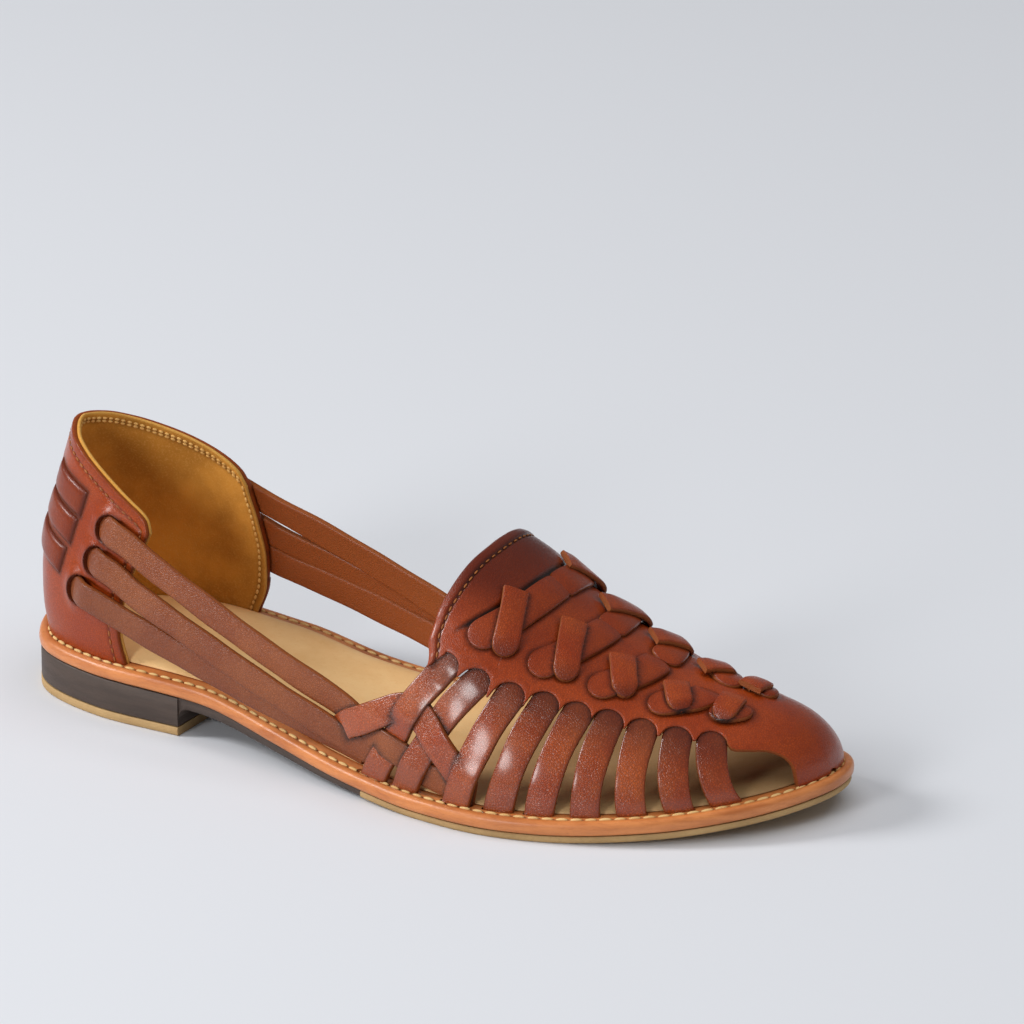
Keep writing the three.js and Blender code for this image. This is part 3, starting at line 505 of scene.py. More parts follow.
def leather_shell(shape, points, normals, low, high, roundness, cut=None, **masks):
    """Closed sheet over a grid, between two lifts, with a rounded or cut edge all round."""
    columns, rows = points.shape[:2]
    low = np.broadcast_to(low, (columns, rows))
    high = np.broadcast_to(high, (columns, rows))
    roundness = np.broadcast_to(roundness, (columns, rows))
    top = points + normals * high[..., None]
    bottom = points + normals * low[..., None]
    ring = [(i, 0) for i in range(columns)]
    ring += [(columns - 1, j) for j in range(1, rows)]
    ring += [(i, rows - 1) for i in range(columns - 2, -1, -1)]
    ring += [(0, j) for j in range(rows - 2, 0, -1)]
    ri, rj = np.array(ring).T
    inner_i = np.clip(ri, 1, columns - 2)
    inner_j = np.clip(rj, 1, rows - 2)
    away = unit(points[ri, rj] - points[inner_i, inner_j])
    half = (high - low)[ri, rj] / 2
    middle = (high + low)[ri, rj] / 2
    count = columns * rows
    corners = [top.reshape(-1, 3), bottom.reshape(-1, 3)]
    face_list = grid_faces(columns, rows)
    faces = face_list + [tuple(corner + count for corner in face[::-1]) for face in face_list]
    upper = ri * rows + rj
    strips = [upper]
    for step in range(1, EDGE_STEPS):
        angle = math.pi * step / EDGE_STEPS
        lift = middle + half * math.cos(angle)
        push = half * math.sin(angle) * roundness[ri, rj]
        corners.append(points[ri, rj] + normals[ri, rj] * lift[:, None] + away * push[:, None])
        strips.append(2 * count + (step - 1) * len(ring) + np.arange(len(ring)))
    strips.append(upper + count)
    for first, second in zip(strips, strips[1:]):
        for k in range(len(ring)):
            after = (k + 1) % len(ring)
            faces.append((first[k], second[k], second[after], first[after]))
    flat = {}
    for name, value in masks.items():
        value = np.broadcast_to(value, (columns, rows)).astype(float)
        edge = value[ri, rj]
        flat[name] = np.concatenate([value.reshape(-1), value.reshape(-1)] + [edge] * (EDGE_STEPS - 1))
    bare = np.tile(1 - roundness[ri, rj] if cut is None else np.full(len(ring), cut), EDGE_STEPS - 1)
    flat["raw"] = np.concatenate([np.zeros(2 * count), bare])
    flat["flesh"] = np.concatenate([np.zeros(count), np.ones(count), 0 * bare])
    shape.add(np.concatenate(corners), faces, **flat)


def spot_tree(*clouds):
    """Search tree of points in millimetres."""
    points = np.concatenate([np.asarray(cloud).reshape(-1, 3) for cloud in clouds])
    tree = KDTree(len(points))
    for serial, spot in enumerate(points):
        tree.insert(Vector(spot), serial)
    tree.balance()
    return tree


def gaps_to(tree, points):
    """Distance from each point to the tree's nearest spot."""
    gaps = np.array([tree.find(Vector(spot))[2] for spot in points.reshape(-1, 3)])
    return gaps.reshape(points.shape[:-1])


def nearness(tree, points, reach):
    """1 at the tree's spots, fading with distance."""
    return bell(gaps_to(tree, points), 0, reach)


TOP_CORNER = 0.5
LOW_CORNER = 0.3
CORNER_TURNS = np.radians([0, 22.5, 45, 67.5, 90])
FLAT_STEPS = 7
CUT_SIDE = np.array([1, 1, 1, 0.6, 0.2, 0, 0] + [0] * FLAT_STEPS + [0, 0, 0.2, 0.6, 1, 1, 1] + [0] * 4)
FLESH_SIDE = np.array([0] * (14 + FLAT_STEPS) + [1] * 4)
THONG_PITCH = 0.9
WANDER = 0.02
CONTACT_REACH = 0.75
END_TURNS = 1 - np.cos(np.radians(np.linspace(0, 90, 9)))
LEAST_TAPER = 0.02
CUT_END = 0.45


def thong_section(half, low, high, crown):
    """Section of a cut thong: across, level, and how near its edge each corner is."""
    corner = min(TOP_CORNER, half * 0.45)
    foot = min(LOW_CORNER, half * 0.3)
    right = half - corner + corner * np.cos(CORNER_TURNS)
    rise = high - corner + corner * np.sin(CORNER_TURNS)
    flat = np.linspace(half - corner, corner - half, FLAT_STEPS + 2)[1:-1]
    middle = (low + high) / 2
    under = np.array([foot - half, 3 * foot - half, half - 3 * foot, half - foot])
    across = np.concatenate([[half, half], right, flat, -right[::-1], [-half, -half], under])
    level = np.concatenate([
        [low + foot, middle], rise, flat * 0 + high, rise[::-1], [middle, low + foot], under * 0 + low,
    ])
    share = np.abs(across) / max(half, 1e-6)
    crowned = np.where(level > middle, crown * (1 - share**2), 0)
    return across, level + crowned, ease(0.72, 0.98, share)


def end_taper(marks, ends):
    """Share of the full width along a thong whose ends are rounded off."""
    taper = np.ones(len(marks))
    for reach, left in zip(ends, (marks, marks[-1] - marks)):
        if reach:
            inside = np.clip(1 - left / reach, 0, 1)
            taper = np.minimum(taper, np.sqrt(np.maximum(1 - inside**2, LEAST_TAPER)))
    return taper


def thong(shape, places, width, crown=0.25, ends=(0, 0), seed=0, contact=None):
    """Leather thong along places of point, normal, low, high and tone.

    ends gives the length over which each end is rounded off; 0 is a straight cut. Near the spots of contact
    the leather is darkened with painted shade.
    """
    line = curve_through(places, 0.3)
    run = run_along(line[:, :3])
    length = run[-1]
    marks = [np.linspace(0, length, max(int(length / THONG_PITCH), 4))]
    for end, reach in enumerate(ends):
        if reach:
            marks.append(END_TURNS * reach if end == 0 else length - END_TURNS * reach)
    marks = np.unique(np.round(np.concatenate(marks), 4))
    line = np.stack([np.interp(marks, run, column) for column in line.T], axis=1)
    point = line[:, :3]
    tangent = unit(np.gradient(point, axis=0))
    normal = line[:, 3:6]
    normal = unit(normal - tangent * (normal * tangent).sum(axis=1, keepdims=True))
    cross = np.cross(normal, tangent)
    taper = end_taper(marks, ends)
    sway = np.sin(marks * 0.31 + seed) + np.sin(marks * 0.17 + 2.1 * seed)
    halves = width / 2 * taper * (1 + WANDER * sway)
    rings = []
    rims = []
    for k in range(len(marks)):
        across, level, rim = thong_section(halves[k], line[k, 6], line[k, 7], crown * taper[k])
        rings.append(point[k] + cross[k] * across[:, None] + normal[k] * level[:, None])
        rims.append(np.maximum(rim, 1 - taper[k]))
    size = len(rings[0])
    raws = np.tile(CUT_SIDE, (len(rings), 1))
    for end, reach in zip((0, -1), ends):
        if not reach:
            raws[end] = np.maximum(raws[end], CUT_END)
    corners = clear_of_welt(np.concatenate(rings))
    painted_shade = nearness(contact, corners, CONTACT_REACH) if contact else 0
    shape.add(
        corners, tube_faces(len(rings), size), raw=raws, rim=np.concatenate(rims),
        flesh=np.tile(FLESH_SIDE, len(rings)), tone=np.repeat(line[:, 8], size), crease=painted_shade,
    )
    return corners


def places_on_last(percents, rises, side, lows, highs, tones=0):
    """Places for a thong on the last, from stations, angles, lifts and tones."""
    point, normal = on_last(along(percents), np.asarray(rises, float), side)
    columns = [np.broadcast_to(values, len(point)) for values in (lows, highs, tones)]
    return np.column_stack([point, normal, *columns])


# Shader and geometry nodes
def fill(tree, made, inputs):
    """A node's inputs, by name or place, take another node's output or a constant."""
    for key, value in inputs.items():
        if isinstance(value, bpy.types.NodeSocket):
            tree.links.new(value, made.inputs[key])
        else:
            made.inputs[key].default_value = value


def new_node(tree, kind, inputs, **settings):
    made = tree.nodes.new(kind)
    for key, value in settings.items():
        setattr(made, key, value)
    fill(tree, made, inputs)
    return made


def new_group(name, kind, inputs, outputs):
    """Node group with named sockets: its tree, what comes in, and the node it leaves by."""
    tree = bpy.data.node_groups.new(name, kind)
    for way, sockets in (("INPUT", inputs), ("OUTPUT", outputs)):
        for label, value in sockets.items():
            tree.interface.new_socket(name=label, in_out=way, socket_type="NodeSocket" + value)
    return tree, tree.nodes.new("NodeGroupInput").outputs, tree.nodes.new("NodeGroupOutput")


def use_group(tree, group, inputs):
    return new_node(tree, "ShaderNodeGroup", inputs, node_tree=group).outputs


def math_node(tree, kind, *values):
    return new_node(tree, "ShaderNodeMath", dict(enumerate(values)), operation=kind).outputs[0]


def blend_colours(tree, base, *layers):
    """A colour with others laid over it in turn, each by its factor."""
    for factor, paint in layers:
        made = new_node(tree, "ShaderNodeMix", {"Factor": factor, 6: base, 7: paint}, data_type="RGBA")
        base = made.outputs[2]
    return base


def spread(tree, value, low, high, to_low=0.0, to_high=1.0):
    """Smooth step of a value from one range to another."""
    limits = {"From Min": low, "From Max": high, "To Min": to_low, "To Max": to_high}
    made = new_node(
        tree, "ShaderNodeMapRange", {"Value": value, **limits}, interpolation_type="SMOOTHSTEP",
    )
    return made.outputs["Result"]


def noise(tree, place, scale, detail=3.0, rough=0.55):
    inputs = {"Vector": place, "Scale": scale, "Detail": detail, "Roughness": rough}
    return new_node(tree, "ShaderNodeTexNoise", inputs).outputs["Fac"]


def attribute(tree, name):
    return new_node(tree, "ShaderNodeAttribute", {}, attribute_name=name).outputs["Fac"]


def bump(tree, height, strength, depth):
    inputs = {"Strength": strength, "Distance": depth, "Height": height}
    return new_node(tree, "ShaderNodeBump", inputs).outputs["Normal"]


GRAIN_BEND = 0.0006


def grain_group():
    """Pebbled leather grain: domes with creases between them, pores, and broad mottling."""
    tree, given, leave = new_group(
        "leather_grain", "ShaderNodeTree",
        {"Place": "Vector", "Pebbles": "Float", "Mottle Size": "Float"},
        {"Height": "Float", "Crease": "Float", "Mottle": "Float"},
    )
    place = given["Place"]
    pebbles = given["Pebbles"]
    warp = new_node(tree, "ShaderNodeTexNoise", {
        "Vector": place, "Scale": math_node(tree, "MULTIPLY", pebbles, 0.5),
    })
    bent = new_node(tree, "ShaderNodeVectorMath", {
        0: warp.outputs["Color"], 1: (GRAIN_BEND, GRAIN_BEND, GRAIN_BEND), 2: place,
    }, operation="MULTIPLY_ADD")
    cells = new_node(
        tree, "ShaderNodeTexVoronoi", {"Vector": bent.outputs[0], "Scale": pebbles},
        feature="DISTANCE_TO_EDGE",
    )
    crease = spread(tree, cells.outputs["Distance"], 0.0, 0.3, 1.0, 0.0)
    pores = noise(tree, place, math_node(tree, "MULTIPLY", pebbles, 2.0), 3.0, 0.6)
    fill(tree, leave, {
        "Height": math_node(tree, "SUBTRACT", pores, crease),
        "Crease": crease,
        "Mottle": noise(tree, place, given["Mottle Size"], 4.0, 0.6),
    })
    return tree


def edge_group():
    """Where leather shows its cut edge, ragged by the fibre."""
    tree, given, leave = new_group(
        "cut_edge", "ShaderNodeTree", {"Place": "Vector", "Fibre": "Float"},
        {"Raw": "Float", "Fuzz": "Float"},
    )
    fuzz = noise(tree, given["Place"], given["Fibre"], 5.0, 0.75)
    start = math_node(tree, "SUBTRACT", attribute(tree, "raw"), 0.25)
    ragged = math_node(tree, "MULTIPLY_ADD", fuzz, 0.5, start)
    fill(tree, leave, {"Raw": spread(tree, ragged, 0.35, 0.65), "Fuzz": fuzz})
    return tree


leather_grain = grain_group()
cut_edge = edge_group()


def start_material(name):
    made = bpy.data.materials.new(name)
    made.use_nodes = True
    tree = made.node_tree
    surface = tree.nodes["Principled BSDF"]
    place = tree.nodes.new("ShaderNodeTexCoord").outputs["Object"]
    return made, tree, surface, place


def colour(red, green, blue):
    """Linear colour from the eye's 0 to 255 scale."""
    def linear(value):
        value = value / 255
        return value / 12.92 if value <= 0.04045 else ((value + 0.055) / 1.055) ** 2.4
    return (linear(red), linear(green), linear(blue), 1.0)


def halfway(first, second):
    return tuple((a + b) / 2 for a, b in zip(first, second))


# Browns of painted shade: the first laid by the crease mask on grained leather and lining, the second on
# the sole and footbed
CREASE_SHADE_BROWN = colour(30, 11, 5)
SOLE_SHADE_BROWN = colour(70, 32, 12)
RAW_TAN = colour(160, 86, 36)
FLESH_BROWN = colour(150, 76, 34)


def leather(name, deep, body, pale, rough, coat, pebbles, depth, gleam=0.36):
    """Oiled cognac leather with pebbled grain, dark grain creases, burnished rims and raw cut edges, and
    painted shade where the crease mask lies.
    """
    made, tree, surface, place = start_material(name)
    grain = use_group(tree, leather_grain, {"Place": place, "Pebbles": pebbles, "Mottle Size": 55.0})
    edge = use_group(tree, cut_edge, {"Place": place, "Fibre": 900.0})
    base = blend_colours(
        tree, body,
        (spread(tree, grain["Mottle"], 0.3, 0.72), pale),
        (attribute(tree, "tone"), deep),
        (math_node(tree, "MULTIPLY", grain["Crease"], 0.4), deep),
        (math_node(tree, "MULTIPLY", attribute(tree, "rim"), 0.3), deep),
        (attribute(tree, "flesh"), FLESH_BROWN),
        (edge["Raw"], blend_colours(tree, halfway(RAW_TAN, deep), (edge["Fuzz"], RAW_TAN))),
        (attribute(tree, "crease"), CREASE_SHADE_BROWN),
    )
    shine = spread(tree, grain["Mottle"], 0.25, 0.8, rough - 0.05, rough + 0.08)
    fill(tree, surface, {
        "Base Color": base,
        "Roughness": math_node(tree, "MULTIPLY_ADD", edge["Raw"], 0.35, shine),
        "Coat Weight": spread(tree, edge["Raw"], 0.0, 0.6, coat, 0.0),
        "Coat Roughness": 0.2,
        "Specular IOR Level": gleam,
        "Normal": bump(tree, grain["Height"], depth, 0.0003),
    })
    return made


def suede(name, deep, body, nap):
    """Brushed lining leather with a soft nap, paler and fuzzier along its cut edge, and painted shade where
    the crease mask lies.
    """
    made, tree, surface, place = start_material(name)
    broad = noise(tree, place, 40.0, 3.0)
    fine = noise(tree, place, 1600.0, 4.0, 0.7)
    base = blend_colours(
        tree, body,
        (spread(tree, broad, 0.3, 0.7), deep),
        (spread(tree, fine, 0.45, 0.75, 0.0, 0.45), nap),
        (attribute(tree, "raw"), blend_colours(tree, deep, (fine, nap))),
        (attribute(tree, "crease"), halfway(deep, CREASE_SHADE_BROWN)),
    )
    fill(tree, surface, {"Base Color": base, "Roughness": 0.9, "Normal": bump(tree, fine, 0.4, 0.0004)})
    return made


def plain_leather(name, body, shade, rough, fibre, coat=0.0, streak=1.0):
    """Smooth sole leather, rubber or thread with fine fibre, broad staining, and painted shade where the
    crease mask lies.
    """
    made, tree, surface, place = start_material(name)
    stretch = new_node(tree, "ShaderNodeMapping", {"Scale": (1.0, 1.0, streak), "Vector": place})
    broad = noise(tree, stretch.outputs["Vector"], 60.0, 4.0, 0.6)
    fine = noise(tree, stretch.outputs["Vector"], fibre, 4.0, 0.7)
    base = blend_colours(
        tree, body,
        (spread(tree, broad, 0.3, 0.75, 0.0, 0.7), shade),
        (spread(tree, fine, 0.5, 0.8, 0.0, 0.5), shade),
        (attribute(tree, "crease"), SOLE_SHADE_BROWN),
    )
    fill(tree, surface, {
        "Base Color": base,
        "Roughness": spread(tree, fine, 0.3, 0.8, rough - 0.06, rough + 0.1),
        "Coat Weight": coat,
        "Coat Roughness": 0.3,
        "Normal": bump(tree, fine, 0.25, 0.0003),
    })
    return made


apron_leather = leather(
    "apron_leather", colour(76, 19, 3), colour(156, 54, 4), colour(174, 68, 11),
    rough=0.34, coat=0.4, pebbles=1600.0, depth=0.3,
)
strip_leather = leather(
    "strip_leather", colour(66, 18, 3), colour(166, 64, 16), colour(188, 88, 30),
    rough=0.26, coat=0.8, pebbles=1400.0, depth=0.35, gleam=0.4,
)
strap_leather = leather(
    "strap_leather", colour(88, 36, 12), colour(142, 69, 27), colour(162, 88, 42),
    rough=0.36, coat=0.25, pebbles=1500.0, depth=0.4,
)
tab_leather = leather(
    "tab_leather", colour(82, 21, 4), colour(156, 54, 7), colour(180, 77, 21),
    rough=0.34, coat=0.4, pebbles=1500.0, depth=0.4,
)
counter_leather = leather(
    "counter_leather", colour(84, 25, 4), colour(158, 57, 8), colour(172, 70, 15),
    rough=0.32, coat=0.25, pebbles=1500.0, depth=0.2, gleam=0.24,
)
lining_suede = suede("lining_suede", colour(186, 124, 38), colour(236, 166, 64), colour(236, 184, 98))
footbed_leather = plain_leather(
    "footbed_leather", colour(254, 212, 150), colour(238, 188, 122), rough=0.62, fibre=700.0,
)
welt_leather = plain_leather(
    "welt_leather", colour(224, 140, 77), colour(166, 84, 33), rough=0.4, fibre=600.0, coat=0.25,
    streak=6.0,
)
heel_stack = plain_leather(
    "heel_stack", colour(78, 63, 54), colour(60, 48, 41), rough=0.55, fibre=500.0, streak=8.0,
)
khaki_rubber = plain_leather(
    "khaki_rubber", colour(196, 160, 108), colour(160, 127, 82), rough=0.75, fibre=900.0,
)
cream_thread = plain_leather(
    "cream_thread", colour(240, 204, 140), colour(200, 146, 80), rough=0.7, fibre=2500.0,
)
gold_thread = plain_leather(
    "gold_thread", colour(244, 196, 116), colour(196, 140, 66), rough=0.8, fibre=2500.0,
)
tan_thread = plain_leather(
    "tan_thread", colour(170, 102, 48), colour(96, 48, 20), rough=0.7, fibre=2500.0,
)

# Sole, from the floor up
SOLE_STATIONS = 150
SOLE_ROWS = 14
BREAST_FILLET = 3
STITCH_INSET = 3.1
STITCH_GROOVE = 0.5
INSOLE_INSET = LAST_INSET + SEAT_GAP


def unshaded(x):
    """No painted shade at any station."""
    return 0 * x


def under_vamp(x):
    """Painted shade on the footbed: more under the vamp, most at the toes."""
    return 0.4 * ease(along(57), along(66), x) + 0.25 * ease(along(84), along(95), x)


def sole_layer(shape, rings, start=None, end=None, crease=0, station_shade=unshaded):
    """Layer of the sole from rings of inset and height, closed across the shoe.

    crease darkens each ring, and the last argument its faces at each station, both with painted shade.
    """
    count = SOLE_STATIONS + 1
    t = np.linspace(0, 1, count)
    loops = []
    for inset, height in rings:
        line = rim_sides(inset)[LATERAL]
        first = line[0, 0] if start is None else start
        final = line[-1, 0] if end is None else end
        low = 1 - np.cos(t * math.pi / 2) if start is None else t
        high = np.sin(t * math.pi / 2) if end is None else t
        x = mix(first, final, mix(low, high, t))
        loops.append([np.stack([x, side_at(x, inset, side), height(x)], axis=1) for side in SIDES])
    size = 2 * count
    corners = np.concatenate([np.concatenate([outer, inner[::-1]]) for outer, inner in loops])
    ring_crease = np.broadcast_to(np.asarray(crease, float), len(rings))
    shape.add(
        corners, tube_faces(len(rings), size, capped=False),
        crease=np.repeat(ring_crease, size) + station_shade(corners[:, 0]),
    )
    for outer, inner in (loops[0], loops[-1]):
        share = np.linspace(0, 1, SOLE_ROWS)[None, :, None]
        cap = outer[:, None, :] * (1 - share) + inner[:, None, :] * share
        shape.add(cap, grid_faces(count, SOLE_ROWS), crease=station_shade(cap[:, :, 0]))


def floor_level(x):
    return 0 * x


def welt_bottom(x):
    return welt_top(x) - WELT_THICKNESS


def under_welt(x):
    return welt_bottom(x) - SEAT_GAP


def shank_bottom(x):
    """Underside of the layer below the waist, filleted into the heel's breast."""
    t = np.clip((x - HEEL_LENGTH) / (SHANK_END - HEEL_LENGTH), 0, 1)
    reach = np.clip(BREAST_FILLET - (x - HEEL_LENGTH), 0, BREAST_FILLET)
    fillet = BREAST_FILLET - np.sqrt(BREAST_FILLET**2 - reach**2)
    return under_welt(x) - mix(SHANK_THICKNESS, OUTSOLE_THICKNESS, t) - fillet


def above(level, lift):
    return lambda x: level(x) + lift


def rings_over(level, *rows):
    """Rings of a sole layer from insets and lifts above one level."""
    return [(inset, above(level, lift)) for inset, lift in rows]


def sole_piece(name, material, slot, node, *layers):
    """Piece of the sole from layers of rings, each with how it is closed or shaded."""
    shape = Shape()
    for rings, finish in layers:
        sole_layer(shape, rings, **finish)
    shape.piece(name, material, slot, node)


# Caramel welt with a rounded edge and a groove for its stitches
welt_rings = rings_over(welt_bottom, (1.2, 0), (0.5, 0.15), (0.15, 0.6), (0.05, 1.3))
welt_rings += rings_over(
    welt_top, (0, -2), (0.1, -1.2), (0.4, -0.6), (0.9, -0.2), (1.6, 0), (2.3, 0), (2.7, -0.2),
    (STITCH_INSET, -STITCH_GROOVE), (3.5, -0.2), (3.9, 0), (5.6, 0),
)
# Painted shade along the welt's lower edge, where it meets the sole, and in its stitch groove
LOWER_EDGE_SHADE = [0.7, 0.3]
GROOVE_SHADE = [0.25, 0.6, 0.25]
welt_shade = LOWER_EDGE_SHADE + [0] * 8 + GROOVE_SHADE + [0] * 2
sole_piece("welt_band", welt_leather, "welt_leather", "welt", (welt_rings, {"crease": welt_shade}))

# Tan footbed with its edge skived thin
skived = ((0, 0), (0.1, 0.3), (0.6, 0.7), (1.8, 1.2), (3.6, 1.7), (6, INSOLE_THICKNESS))
footbed_rings = rings_over(welt_top, *((INSOLE_INSET + inset, SEAT_GAP + lift) for inset, lift in skived))
# Painted shade darkens the footbed under the vamp, most at the toes
sole_piece("footbed", footbed_leather, "insole_leather", "insole", (footbed_rings, {"station_shade": under_vamp}))

# Khaki sole under the forefoot
forefoot_rings = rings_over(
    under_welt, (1.3, -OUTSOLE_THICKNESS), (0.9, 0.25 - OUTSOLE_THICKNESS),
    (0.7, 0.8 - OUTSOLE_THICKNESS), (0.7, -0.3), (0.9, 0),
)
sole_piece(
    "forefoot_sole", khaki_rubber, "sole_rubber", "outsole",
    (forefoot_rings, {"start": SHANK_END + SEAT_GAP}),
)

# Khaki wearing layer under the heel
lift_rings = rings_over(
    floor_level, (1, 0), (0.6, 0.2), (0.4, 0.6), (0.4, TOP_LIFT_THICKNESS - 0.3),
    (0.6, TOP_LIFT_THICKNESS),
)
sole_piece("heel_lift", khaki_rubber, "sole_rubber", "top_lift", (lift_rings, {"end": HEEL_LENGTH}))

# Dark heel block, and the thin layer that runs on from it under the waist
lift_top = TOP_LIFT_THICKNESS + SEAT_GAP
block_rings = rings_over(floor_level, (0.7, lift_top), (0.5, lift_top + 0.3))
block_rings += rings_over(under_welt, (0.5, -0.3), (0.8, 0))
shank_rings = rings_over(shank_bottom, (1.7, 0), (1.2, 0.4))
shank_rings += rings_over(under_welt, (1.1, -0.3), (1.3, 0))
sole_piece(
    "heel_stack", heel_stack, "heel_stack", "heel_block", (block_rings, {"end": HEEL_LENGTH}),
    (shank_rings, {"start": HEEL_LENGTH - 1, "end": SHANK_END}),
)

# Weave of the apron: diagonals, with tabs crossing over them
WEAVE_BASE = 2.9
DIAGONAL_TOP = 4.6
TAB_TOP = 6.1
TAB_THICKNESS = 1.5
TAB_DIP = 0.5
WEAVE_STEPS = np.linspace(0, 1, 13)


def tab_places(row, side):
    """Tab from its foot on the apron over the diagonal to its cut head."""
    t = WEAVE_STEPS
    highs = mix(APRON_HIGH + 0.4, TAB_TOP, ease(-0.12, 0.3, t)) - TAB_DIP * ease(0.75, 1, t)
    lows = np.maximum(highs - TAB_THICKNESS, WEAVE_BASE)
    percents = mix(row["foot"], row["head"], t)
    rises = mix(row["foot_rise"], row["head_rise"], t)
    return places_on_last(percents, rises, side, lows, highs, 0.5 * (1 - ease(0, 0.3, t)))


def diagonal_places(row, side):
    """Diagonal thong that bends from the side up over the ridge, sunk at both ends."""
    t = WEAVE_STEPS
    percents = mix(row["start"], row["end"], 1 - (1 - t) ** DIAGONAL_BEND)
    rises = mix(row["start_rise"], row["end_rise"], t)
    highs = mix(APRON_HIGH + 0.3, DIAGONAL_TOP, np.clip(np.minimum(5 * t, 5 * (1 - t)), 0, 1))
    return places_on_last(percents, rises, side, WEAVE_BASE, highs, 0.15)


def make_weave():
    """All tabs and diagonals; gives their corners, which press into the apron."""
    weave = Shape()
    tabs = Shape()
    clouds = []
    for side in SIDES:
        for k in range(len(WEAVE["start"])):
            row = {name: values[k] for name, values in WEAVE.items()}
            tab = thong(tabs, tab_places(row, side), TAB_WIDTH, 0.3, (4, 0), seed=k + 7)
            diagonal = thong(
                weave, diagonal_places(row, side), DIAGONAL_WIDTH, 0.3, (4.5, 3), seed=k,
                contact=spot_tree(tab),
            )
            clouds += [tab, diagonal]
    weave.piece("weave_diagonals", apron_leather, "upper_leather", "upper")
    tabs.piece("weave_tabs", tab_leather, "upper_leather", "upper")
    return clouds


# Apron with its rolled throat, arched lower edge and toe cap
ARCH_STATIONS = 260
CUT_STATIONS = 40
TIP_STATIONS = 16
APRON_ROWS = 131
EDGE_CROWDING = 0.75
MM_PER_PERCENT = SOLE_LENGTH / 100
MM_PER_DEGREE = 0.6
CUSP_LIMIT = 7
CORNER = table("along rise", (59.2, 35.5), (60.6, 41))
THROAT_ROLL = 0.35
ARCH_ROLL = 0.15
SEAM_FROM_THROAT = 2.4
SEAM_DEPTH = 0.5
PRESS_DEPTH = 0.25
EDGE_LOW = 2.4
PANEL_SET_BACK = 1.8
PANEL_RAISE = 0.5
PANEL_FROM = 46
strip_count = len(STRIPS["top"])
tip_percent = last_tip / SOLE_LENGTH * 100


def strip_station(k, rises):
    return mix(STRIPS["foot"][k], STRIPS["top"][k], rises / STRIPS["rise"][k])


def arch_edge(percents):
    """Angle of the apron's lower edge where it arches over the rounded tops of the strips."""
    angles = np.linspace(15, 70, 221)
    points, _ = on_last(along(percents)[:, None] + 0 * angles, angles + 0 * percents[:, None])
    radius = STRIP_WIDTH / 2 + ARCH_GAP
    gaps = np.full(points.shape[:2], 1e3)
    for k in range(strip_count):
        rises = np.linspace(STRIPS["rise"][k], 10, 120)
        axis, _ = on_last(along(strip_station(k, rises)), rises)
        for spot in axis[run_along(axis) > radius - ARCH_GAP]:
            gaps = np.minimum(gaps, np.linalg.norm(points - spot, axis=2))
    inside = gaps < radius
    last = len(angles) - 2 - np.argmax(inside[:, -2::-1], axis=1)
    rows = np.arange(len(percents))
    first_gap = radius - gaps[rows, last]
    next_gap = gaps[rows, last + 1] - radius
    edge = angles[last] + (angles[1] - angles[0]) * first_gap / (first_gap + next_gap)
    edge = np.maximum(edge, np.interp(percents, STRIPS["top"], STRIPS["rise"]) - CUSP_LIMIT)
    corner = np.interp(percents, CORNER["along"], CORNER["rise"], right=90)
    return np.where(percents < CORNER["along"][-1], np.minimum(edge, corner), edge)


def apron_outline():
    """Stations of the apron, and the angle of its lower edge at each: arches, cut-out, toe tip."""
    cut_line = np.linspace(CUTOUT["along"][0], CUTOUT["along"][-1], 400)
    cut_rise = smooth(CUTOUT, "along", "rise", cut_line)
    cut_steps = np.hypot(np.gradient(cut_line) * MM_PER_PERCENT, np.gradient(cut_rise) * MM_PER_DEGREE)
    cut_run = np.cumsum(cut_steps)
    arches = np.linspace(CORNER["along"][0], CUTOUT["along"][0], ARCH_STATIONS)[:-1]
    cut_out = np.interp(np.linspace(cut_run[0], cut_run[-1], CUT_STATIONS), cut_run, cut_line)[:-1]
    tip_turn = np.sin(np.linspace(0, math.pi / 2, TIP_STATIONS))
    tip = mix(CUTOUT["along"][-1], tip_percent - 0.02, tip_turn)
    edge = [
        arch_edge(arches), smooth(CUTOUT, "along", "rise", cut_out),
        np.full(TIP_STATIONS, CUTOUT["rise"][-1]),
    ]
    return np.concatenate([arches, cut_out, tip]), np.concatenate(edge)


class ApronGrid:
    """Grid of the apron on the last, from throat to tip, and across from edge to edge."""

    def __init__(self):
        self.stations, edge = apron_outline()
        across = np.linspace(0, 1, APRON_ROWS)
        share = across - EDGE_CROWDING * np.sin(2 * math.pi * across) / (2 * math.pi)
        angles = mix(edge[:, None], 180 - edge[:, None], share[None, :])
        self.rise = np.minimum(angles, 180 - angles)
        fade = np.maximum(1 - (self.stations - self.stations[0]) / THROAT_FADE, 0)[:, None] ** 1.5
        fade = fade * ease(0, 7, self.rise - edge[:, None])
        shift = (smooth(THROAT, "rise", "along", self.rise) - self.stations[0]) * fade
        self.percent = np.minimum(self.stations[:, None] + shift, tip_percent)
        self.points, self.normals = on_last(along(self.percent), angles)
        self.edge_points = np.concatenate([self.points[:, 0], self.points[:, -1]])
        self.edge_normals = np.concatenate([self.normals[:, 0], self.normals[:, -1]])
        self.from_edge = gaps_to(spot_tree(self.edge_points), self.points)
        self.from_throat = run_along(self.points)


def throat_panel(grid):
    """Where the throat's upper layer lies, and the painted shade in front of it at the first diagonal."""
    first = {name: values[0] for name, values in WEAVE.items()}
    turn = (grid.rise - first["start_rise"]) / (first["end_rise"] - first["start_rise"])
    turn = 1 - (1 - np.clip(turn, 0, 1)) ** DIAGONAL_BEND
    front = mix(first["start"], first["end"], turn) - PANEL_SET_BACK
    here = ease(PANEL_FROM, PANEL_FROM + 5, grid.rise)
    panel = (1 - ease(-0.2, 0.2, grid.percent - front)) * here
    return panel, bell(grid.percent - front, 0.2, 0.22) * here


